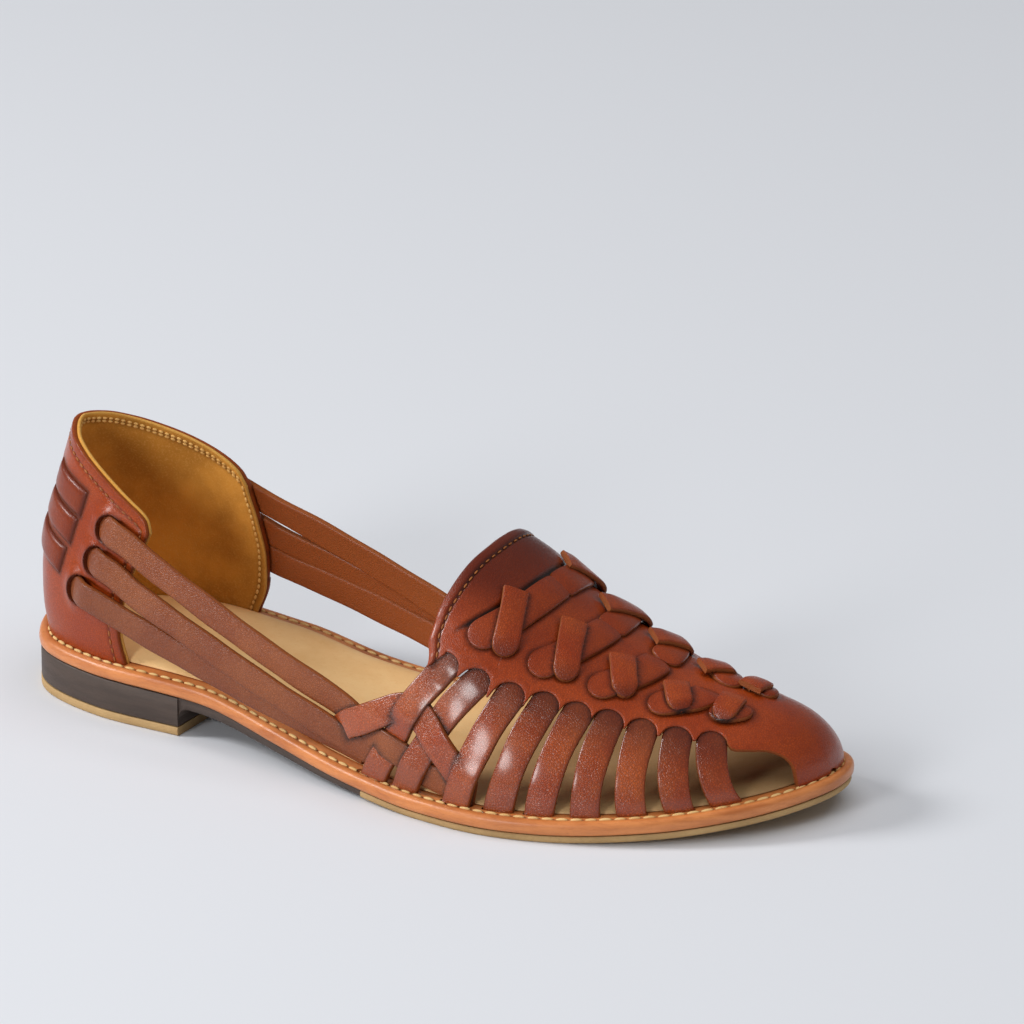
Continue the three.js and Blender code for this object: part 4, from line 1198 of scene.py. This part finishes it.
def make_apron(grid, weave_clouds):
    """Apron leather; gives the lift of its outer face over the last."""
    panel, panel_shade = throat_panel(grid)
    arched = 1 - ease(89.6, 90.4, grid.stations)[:, None]
    rounded = bell(grid.from_edge, 0.9, 0.9) * arched
    rolled = bell(grid.from_throat, 1.3, 1.3)
    seam = bell(grid.from_throat, SEAM_FROM_THROAT, 0.55)
    pressed = nearness(spot_tree(*weave_clouds), grid.points + grid.normals * APRON_HIGH, 1.0)
    high = APRON_HIGH + THROAT_ROLL * rolled + ARCH_ROLL * rounded + PANEL_RAISE * panel
    high = high - SEAM_DEPTH * seam - PRESS_DEPTH * pressed
    low = mix(EDGE_LOW, APRON_LOW, ease(0, 2.5, grid.from_edge)) * arched + APRON_LOW * (1 - arched)
    roundness = np.maximum(np.broadcast_to(0.6 * arched, high.shape), 0.15)
    roundness[0, :] = 1
    apron = Shape()
    # The crease mask is painted shade round the weave, along the throat's seam and in front of the throat
    # panel
    leather_shell(
        apron, grid.points, grid.normals, low, high, roundness,
        crease=np.clip(0.7 * pressed + 0.8 * seam + 0.8 * panel_shade, 0, 1),
        tone=0.8 * (1 - ease(2, 34, grid.from_throat)) * ease(6, 24, grid.from_edge),
        rim=np.clip(0.6 * rolled, 0, 1),
    )
    apron.points = [clear_of_welt(points) for points in apron.points]
    apron.piece("vamp_apron", apron_leather, "upper_leather", "upper", sharp=60)
    return high


apron_grid = ApronGrid()
weave_clouds = make_weave()
apron_high = make_apron(apron_grid, weave_clouds)

# Side strips out of the arches, and the plait
STRIP_RISE = 0.9
STRIP_FOOT = -5
UNDER_ARCH = 2.7


def strip_places(k, side):
    """Side strip from under its arch down to its foot, over and under in the plait."""
    rises = np.linspace(STRIPS["rise"][k] + STRIP_OVERRUN, STRIP_FOOT, 40)
    percents = strip_station(k, rises)
    spots, _ = on_last(along(percents), rises)
    run = run_along(spots)
    below = run - np.interp(-STRIPS["rise"][k], -rises, run)
    lifts = STRIP_RISE * (1 - ease(2, 9, below)) * ease(-5, 0, below)
    if k < len(PLAIT_LIFTS):
        lifts = lifts + smooth(PLAIT_LIFTS[k], "rise", "lift", rises)
    tones = 0.65 * (1 - ease(1, 16, below)) + 0.25 * ease(24, 44, below) + 0.1 * (k % 2)
    return places_on_last(percents, rises, side, lifts, lifts + STRIP_THICKNESS, tones)


def make_strips(contact):
    """Nine strips a side; gives the corners of those that the plait binds."""
    strips = Shape()
    plaited = []
    for side in SIDES:
        for k in range(strip_count):
            strip = thong(strips, strip_places(k, side), STRIP_WIDTH, 0.3, seed=3 * k, contact=contact)
            if k < len(PLAIT_LIFTS):
                plaited.append(strip)
    strips.piece("side_strips", strip_leather, "upper_leather", "upper")
    return plaited


def loop_thongs(shape, contact=None):
    """The binding loop of each side; gives their corners."""
    lifts = PLAIT_LOOP["lift"]
    clouds = []
    for side in SIDES:
        loop = places_on_last(
            PLAIT_LOOP["along"], PLAIT_LOOP["rise"], side, lifts, lifts + STRIP_THICKNESS,
        )
        clouds.append(thong(shape, loop, STRIP_WIDTH, 0.3, seed=4, contact=contact))
    return clouds


loop_clouds = loop_thongs(Shape())
arch_spots = apron_grid.edge_points + apron_grid.edge_normals * UNDER_ARCH
plaited_clouds = make_strips(spot_tree(arch_spots, *loop_clouds))
plait = Shape()
loop_thongs(plait, spot_tree(*plaited_clouds))
plait.piece("plait_loops", strip_leather, "upper_leather", "upper")


# Sling straps
def strap_places(strap, side, tone):
    """Out of the slot, over the counter's wing, taut to the last and forward along it."""
    raised = MEDIAL_STRAP_RISE if side == MEDIAL else 0
    lifts = strap["front"]["lift"]
    rises = strap["front"]["rise"] + raised * np.maximum(1 - np.arange(len(lifts)) / 2, 0)
    front = places_on_last(strap["front"]["along"], rises, side, lifts, lifts + STRIP_THICKNESS, tone)
    slot_x = along(strap["slot"][0])
    slot_height = strap["slot"][1] + raised
    slope = (front[0, 2] - slot_height) / (front[0, 0] - slot_x)
    wing_rise = (slot_height + slope * SLOT_RUN - HEEL_HEIGHT) / COUNTER_HEIGHT
    wing_x = along(smooth(COUNTER, "rise", SIDE_NAMES[side], wing_rise))
    rest = COUNTER_WALL + STRAP_REST

    def on_wing(x, low):
        point, normal = on_counter(*counter_spot(x, slot_height + slope * (x - slot_x), side))
        return np.concatenate([point, normal, [low, low + STRIP_THICKNESS, tone]])

    rows = [
        on_wing(slot_x, 0.8), on_wing(slot_x + SLOT_RUN / 2, 2), on_wing(slot_x + SLOT_RUN, rest),
        on_wing(mix(slot_x + SLOT_RUN, wing_x, 0.5), rest), on_wing(wing_x, rest),
    ]
    clear = rows[-1].copy()
    clear[:3] += unit(rows[-1][:3] - rows[-2][:3]) * WING_CLEAR
    rows.append(clear)
    for share in (0.25, 0.5, 0.75):
        taut = mix(clear, front[0], share)
        taut[3:6] = unit(taut[3:6])
        taut[:3] += taut[3:6] * STRAP_BOW * math.sin(math.pi * share)
        rows.append(taut)
    rows.extend(front)
    return np.array(rows)


def make_straps(contact):
    """Three straps a side; gives their centre lines."""
    straps = Shape()
    lines = []
    for side in SIDES:
        width = MEDIAL_STRAP_WIDTH if side == MEDIAL else STRAP_WIDTH
        for k, strap in enumerate(STRAPS):
            line = strap_places(strap, side, 0.12 * k)
            thong(straps, line, width, 0.25, (3.6, 0), seed=5 * k, contact=contact)
            lines.append(line)
    straps.piece("sling_straps", strap_leather, "upper_leather", "upper")
    return lines


strap_lines = make_straps(spot_tree(*loop_clouds, *plaited_clouds))

# Heel counter: inlays, outer leather and lining
COUNTER_COLUMNS = 321
COUNTER_ROWS = 117
COLLAR_SEAM = 3
SLOT_PLAY = 0.5
SLOT_SEES = 12
LINING_SEAMS = (0.9, 1.9)


def make_inlays():
    """Patches woven into the counter's back; gives the spots along their edges."""
    long_share, short_share = np.meshgrid(np.linspace(-1, 1, 25), np.linspace(-1, 1, 19), indexing="ij")
    puff = np.sqrt((1 - long_share**4) * (1 - short_share**4))
    edge = np.maximum(np.abs(long_share), np.abs(short_share)) > 0.99
    inlays = Shape()
    clouds = []
    for side in SIDES:
        for k in range(len(INLAYS["along"])):
            x = along(INLAYS["along"][k]) + long_share * INLAY_LONG[0] + short_share * INLAY_SHORT[0]
            height = INLAYS["height"][k] + long_share * INLAY_LONG[1] + short_share * INLAY_SHORT[1]
            points, normals = on_counter(*counter_spot(x, height, side))
            leather_shell(
                inlays, points, normals, COUNTER_WALL / 2, COUNTER_WALL + 0.2 + INLAY_RAISE * puff, 0.2,
                cut=0.6, tone=0.95 - 0.5 * puff,
            )
            clouds.append((points + normals * COUNTER_WALL)[edge])
    inlays.piece("heel_inlays", counter_leather, "upper_leather", "heel_counter")
    return clouds


class CounterGrid:
    """Grid of the counter's inner face, from wing to wing and from the welt up to the collar."""

    def __init__(self):
        self.turns = np.linspace(-1, 1, COUNTER_COLUMNS)[:, None]
        self.shares = np.linspace(0, 1, COUNTER_ROWS)[None, :]
        self.collar = collar_rise(self.turns)
        self.points, self.normals = on_counter(self.turns + 0 * self.shares, self.collar * self.shares)
        self.up_run = run_along(self.points, axis=1)
        self.turn_run = run_along(self.points)
        from_collar = self.up_run[:, -1:] - self.up_run
        from_wing = np.minimum(self.turn_run, self.turn_run[-1:] - self.turn_run)
        self.border = np.minimum(from_collar, from_wing)


def slot_relief(face, lines):
    """Lift of the counter's face round the slots that the straps come out of, and painted shade in a
    crescent round each mouth.
    """
    lift = np.zeros(face.shape[:2])
    painted_shade = np.zeros(face.shape[:2])
    arch = STRAP_WIDTH / 2 + SLOT_PLAY
    for line in lines:
        facing = line[0, 3:6]
        from_mouth = face - (line[0, :3] + facing * COUNTER_WALL)
        forward = unit(line[1, :3] - line[0, :3])
        reach = from_mouth @ forward
        sideways = from_mouth @ unit(np.cross(facing, forward))
        near = np.abs(from_mouth @ facing) < SLOT_SEES
        gap = np.where(reach < arch, np.hypot(reach - arch, sideways), np.abs(sideways)) - arch
        lip = SLOT_LIP * bell(np.maximum(gap, 0), 0, 2.4) * (1 - 0.8 * ease(0, 9, reach))
        sink = SLOT_SINK * ease(0, 0.8, -gap) * (1 - ease(6, 10, reach))
        lift = np.where(near & (gap > 0), np.maximum(lift, lip), lift)
        lift = np.where(near & (gap <= 0), -sink, lift)
        mark = bell(gap, 0, 0.7) * (1 - 0.5 * ease(6, 12, reach))
        painted_shade = np.maximum(painted_shade, np.where(near, mark, 0))
    return lift, painted_shade


def make_heel_cup(grid, lines, inlay_clouds):
    """Outer leather of the counter, sewn below the collar and down both wings."""
    face = grid.points + grid.normals * COUNTER_WALL
    lift, painted_shade = slot_relief(face, lines)
    # Painted shade round the slots' mouths and the inlays, and along the collar seam
    crease = np.maximum(painted_shade, nearness(spot_tree(*inlay_clouds), face, 0.95))
    seam = bell(grid.border, COLLAR_SEAM, 0.5)
    cup = Shape()
    leather_shell(
        cup, grid.points, grid.normals, LINING_WALL + 0.05, COUNTER_WALL + lift - 0.3 * seam, 0.5,
        crease=np.clip(0.8 * crease + 0.45 * seam, 0, 1), rim=np.exp(-grid.border / 1.2),
    )
    cup.piece("heel_cup", counter_leather, "upper_leather", "heel_counter", sharp=60)


def make_heel_lining(grid):
    """Suede lining, a little proud of the collar, with painted shade along the line of its seams."""
    rises = grid.collar[::2] * grid.shares + 0.006 * (grid.shares == 1)
    points, normals = on_counter(grid.turns[::2] + 0 * grid.shares, rises)
    seam_shade = 0.75 * bell(grid.border[::2], 1.6, 1.1)
    lining = Shape()
    leather_shell(lining, points, normals, 0, LINING_WALL, 0.9, cut=1, crease=seam_shade)
    lining.piece("heel_lining", lining_suede, "insole_leather", "heel_counter", sharp=60)


counter_grid = CounterGrid()
inlay_clouds = make_inlays()
make_heel_cup(counter_grid, strap_lines, inlay_clouds)
make_heel_lining(counter_grid)


# Rows of stitches
def stitch_tree():
    """Stitches set along a line at an even pitch, lying on the surface they are sewn through."""
    sizes = ("Pitch", "Stitch Length", "Thread Width", "Thread Height", "Unevenness")
    tree, given, leave = new_group(
        "stitch_row", "GeometryNodeTree",
        {"Seam": "Geometry", **dict.fromkeys(sizes, "Float"), "Seed": "Int", "Thread": "Material"},
        {"Stitches": "Geometry"},
    )
    seam = new_node(tree, "GeometryNodeMeshToCurve", {"Mesh": given["Seam"]})
    even = new_node(tree, "GeometryNodeResampleCurve", {
        "Curve": seam.outputs["Curve"], "Length": given["Pitch"],
    }, mode="LENGTH")
    bead = new_node(tree, "GeometryNodeMeshUVSphere", {"Segments": 8, "Rings": 6, "Radius": 0.5})
    size = new_node(tree, "ShaderNodeCombineXYZ", {
        "X": given["Stitch Length"], "Y": given["Thread Width"], "Z": given["Thread Height"],
    })
    stitch = new_node(tree, "GeometryNodeTransform", {
        "Geometry": bead.outputs["Mesh"], "Scale": size.outputs["Vector"],
    })
    run = new_node(tree, "GeometryNodeInputTangent", {})
    lie = new_node(tree, "FunctionNodeAlignRotationToVector", {"Vector": run.outputs["Tangent"]}, axis="X")
    upward = new_node(tree, "GeometryNodeInputNamedAttribute", {"Name": "upward"}, data_type="FLOAT_VECTOR")
    stand = new_node(tree, "FunctionNodeAlignRotationToVector", {
        "Rotation": lie.outputs["Rotation"], "Vector": upward.outputs["Attribute"],
    }, axis="Z", pivot_axis="X")
    uneven = new_node(tree, "FunctionNodeRandomValue", {
        2: math_node(tree, "SUBTRACT", 1.0, given["Unevenness"]),
        3: math_node(tree, "ADD", 1.0, given["Unevenness"]),
        "Seed": given["Seed"],
    }, data_type="FLOAT")
    set_out = new_node(tree, "GeometryNodeInstanceOnPoints", {
        "Points": even.outputs["Curve"], "Instance": stitch.outputs["Geometry"],
        "Rotation": stand.outputs["Rotation"], "Scale": uneven.outputs[1],
    })
    real = new_node(tree, "GeometryNodeRealizeInstances", {"Geometry": set_out.outputs["Instances"]})
    soft = new_node(tree, "GeometryNodeSetShadeSmooth", {"Geometry": real.outputs["Geometry"]})
    sewn = new_node(tree, "GeometryNodeSetMaterial", {
        "Geometry": soft.outputs["Geometry"], "Material": given["Thread"],
    })
    fill(tree, leave, {"Stitches": sewn.outputs["Geometry"]})
    return tree


stitch_row = stitch_tree()
UNEVENNESS = 0.08


def stitches(name, lines, thread, slot, node, pitch, length, width, height, seed):
    """One piece of stitches along lines of points with their upward directions, in millimetres."""
    points = []
    ups = []
    edges = []
    for line, up, closed in lines:
        first = len(points)
        points.extend(in_frame(line).tolist())
        ups.extend(np.broadcast_to(up, line.shape).tolist())
        edges.extend((first + i, first + i + 1) for i in range(len(line) - 1))
        if closed:
            edges.append((first + len(line) - 1, first))
    mesh = bpy.data.meshes.new(name)
    mesh.from_pydata(points, edges, [])
    layer = mesh.attributes.new("upward", "FLOAT_VECTOR", "POINT")
    layer.data.foreach_set("vector", np.array(ups, np.float32).reshape(-1))
    seam = new_object(name + "_line", mesh)
    sewing = seam.modifiers.new("sewing", "NODES")
    sewing.node_group = stitch_row
    wanted = {
        "Pitch": pitch / 1000, "Stitch Length": length / 1000, "Thread Width": width / 1000,
        "Thread Height": height / 1000, "Unevenness": UNEVENNESS, "Seed": seed, "Thread": thread,
    }
    for item in stitch_row.interface.items_tree:
        if item.in_out == "INPUT" and item.name in wanted:
            sewing[item.identifier] = wanted[item.name]
    bpy.context.view_layer.update()
    ready = seam.evaluated_get(bpy.context.evaluated_depsgraph_get())
    sewn = bpy.data.meshes.new_from_object(ready)
    seam.modifiers.remove(sewing)
    bpy.data.objects.remove(seam)
    sewn.name = name
    return placed(new_object(name, sewn), slot, node)


def welt_seam():
    """Line of the welt's seam, in its groove all round."""
    rim = rim_curve + rim_inward * STITCH_INSET
    line = np.column_stack([rim, welt_top(rim[:, 0]) - STITCH_GROOVE + 0.35])
    return line, np.array([0.0, 0.0, 1.0]), True


def at_run(run, reach, rows):
    """Row of values where a run along them comes to a reach."""
    return np.array([np.interp(reach, run, column) for column in rows.T])


def throat_seam(grid, high):
    """Line of the seam along the throat."""
    places = []
    ups = []
    for j in range(6, APRON_ROWS - 6):
        run = grid.from_throat[:, j]
        up = unit(at_run(run, SEAM_FROM_THROAT, grid.normals[:, j]))
        lift = np.interp(SEAM_FROM_THROAT, run, high[:, j]) + 0.2
        places.append(at_run(run, SEAM_FROM_THROAT, grid.points[:, j]) + up * lift)
        ups.append(up)
    return np.array(places), np.array(ups), False


def counter_row(spots, lift, facing):
    """Line of a seam on the counter from turns and rises."""
    turns, rises = np.array(spots).T
    point, normal = on_counter(turns, rises)
    return point + normal * lift, facing * normal, False


def wing_row(grid, end, inset):
    """Turns and rises down a wing's front edge."""
    spots = []
    for j in range(3, COUNTER_ROWS - 5):
        run = grid.turn_run[:, j]
        turn = np.interp(inset if end < 0 else run[-1] - inset, run, grid.turns[:, 0])
        spots.append((turn, float(collar_rise(turn)) * grid.shares[0, j]))
    return spots


def collar_row(grid, inset):
    """Turns and rises below the collar."""
    spots = []
    for i in range(6, COUNTER_COLUMNS - 6, 2):
        share = np.interp(grid.up_run[i, -1] - inset, grid.up_run[i], grid.shares[0])
        spots.append((grid.turns[i, 0], grid.collar[i, 0] * share))
    return spots


def counter_seams(grid, collar_insets, wing_inset, lift, facing):
    """Seams below the collar and down both wings."""
    rows = [collar_row(grid, inset) for inset in collar_insets]
    rows += [wing_row(grid, end, wing_inset) for end in SIDES]
    return [counter_row(row, lift, facing) for row in rows]


stitches(
    "welt_stitches", [welt_seam()], cream_thread, "welt_leather", "welt",
    pitch=4.1, length=3.6, width=1.1, height=1, seed=3,
)
stitches(
    "throat_stitches", [throat_seam(apron_grid, apron_high)], tan_thread, "upper_leather", "upper",
    pitch=2.7, length=1.8, width=0.55, height=0.5, seed=5,
)
stitches(
    "collar_stitches", counter_seams(counter_grid, [COLLAR_SEAM], COLLAR_SEAM, COUNTER_WALL - 0.15, 1),
    tan_thread, "upper_leather", "heel_counter", pitch=2.6, length=1.8, width=0.6, height=0.5, seed=7,
)
stitches(
    "lining_stitches", counter_seams(counter_grid, LINING_SEAMS, LINING_SEAMS[1], -0.1, -1),
    gold_thread, "insole_leather", "heel_counter", pitch=1.9, length=1.5, width=0.9, height=0.6, seed=9,
)

# Floor, light and camera, with distances in metres
FLOOR_REACH = 6.0
CAMERA_AZIMUTH = math.radians(30.921)
CAMERA_ELEVATION = math.radians(21.914)
CAMERA_DISTANCE = 2.536159
CAMERA_LENS = 312.2
CAMERA_SENSOR = 36
AIM_RIGHT = 0.0247
AIM_UP = 0.04755
shoe_middle = Vector(in_frame((SOLE_LENGTH / 2, 0, 20)).tolist())


def lay_floor():
    """Plain pale floor."""
    corners = [(x * FLOOR_REACH, y * FLOOR_REACH, 0) for x, y in ((-1, -1), (1, -1), (1, 1), (-1, 1))]
    mesh = bpy.data.meshes.new("studio_floor")
    mesh.from_pydata(corners, [], [(0, 1, 2, 3)])
    paint = bpy.data.materials.new("pale_floor")
    paint.use_nodes = True
    surface = paint.node_tree.nodes["Principled BSDF"]
    surface.inputs["Base Color"].default_value = colour(222, 224, 229)
    surface.inputs["Roughness"].default_value = 0.9
    mesh.materials.append(paint)
    new_object("studio_floor", mesh)


def set_camera():
    """Long lens from the front of the outer side, a little above."""
    back = Vector((
        math.sin(CAMERA_AZIMUTH) * math.cos(CAMERA_ELEVATION),
        -math.cos(CAMERA_AZIMUTH) * math.cos(CAMERA_ELEVATION),
        math.sin(CAMERA_ELEVATION),
    ))
    right = Vector((math.cos(CAMERA_AZIMUTH), math.sin(CAMERA_AZIMUTH), 0))
    data = bpy.data.cameras.new("photo_camera")
    data.lens = CAMERA_LENS
    data.sensor_width = CAMERA_SENSOR
    camera = new_object("photo_camera", data)
    camera.location = shoe_middle + back * CAMERA_DISTANCE
    aim = shoe_middle + right * AIM_RIGHT + back.cross(right) * AIM_UP
    camera.rotation_euler = (camera.location - aim).to_track_quat("Z", "Y").to_euler()
    bpy.context.scene.camera = camera
    bpy.context.scene.view_settings.view_transform = "Standard"


def soft_light(name, place, size, power, gleams):
    """Round softbox turned to the shoe, which may gleam in the leather or only light it."""
    data = bpy.data.lights.new(name, "AREA")
    data.shape = "DISK"
    data.size = size
    data.energy = power
    lamp = new_object(name, data)
    lamp.location = place
    lamp.visible_glossy = gleams
    lamp.rotation_euler = (Vector(place) - shoe_middle).to_track_quat("Z", "Y").to_euler()


def set_world():
    """Weak cool light from all round."""
    world = bpy.data.worlds.new("studio")
    world.use_nodes = True
    background = world.node_tree.nodes["Background"]
    background.inputs["Color"].default_value = (0.94, 0.97, 1.0, 1)
    background.inputs["Strength"].default_value = 0.2
    bpy.context.scene.world = world


lay_floor()
set_camera()
soft_light("key_softbox", (-1.7, -0.75, 1.35), size=0.7, power=30, gleams=True)
soft_light("front_softbox", (-0.3, -2.1, 0.95), size=0.7, power=17, gleams=True)
soft_light("overhead", (0.3, 0, 2.2), size=3.0, power=26, gleams=False)
set_world()
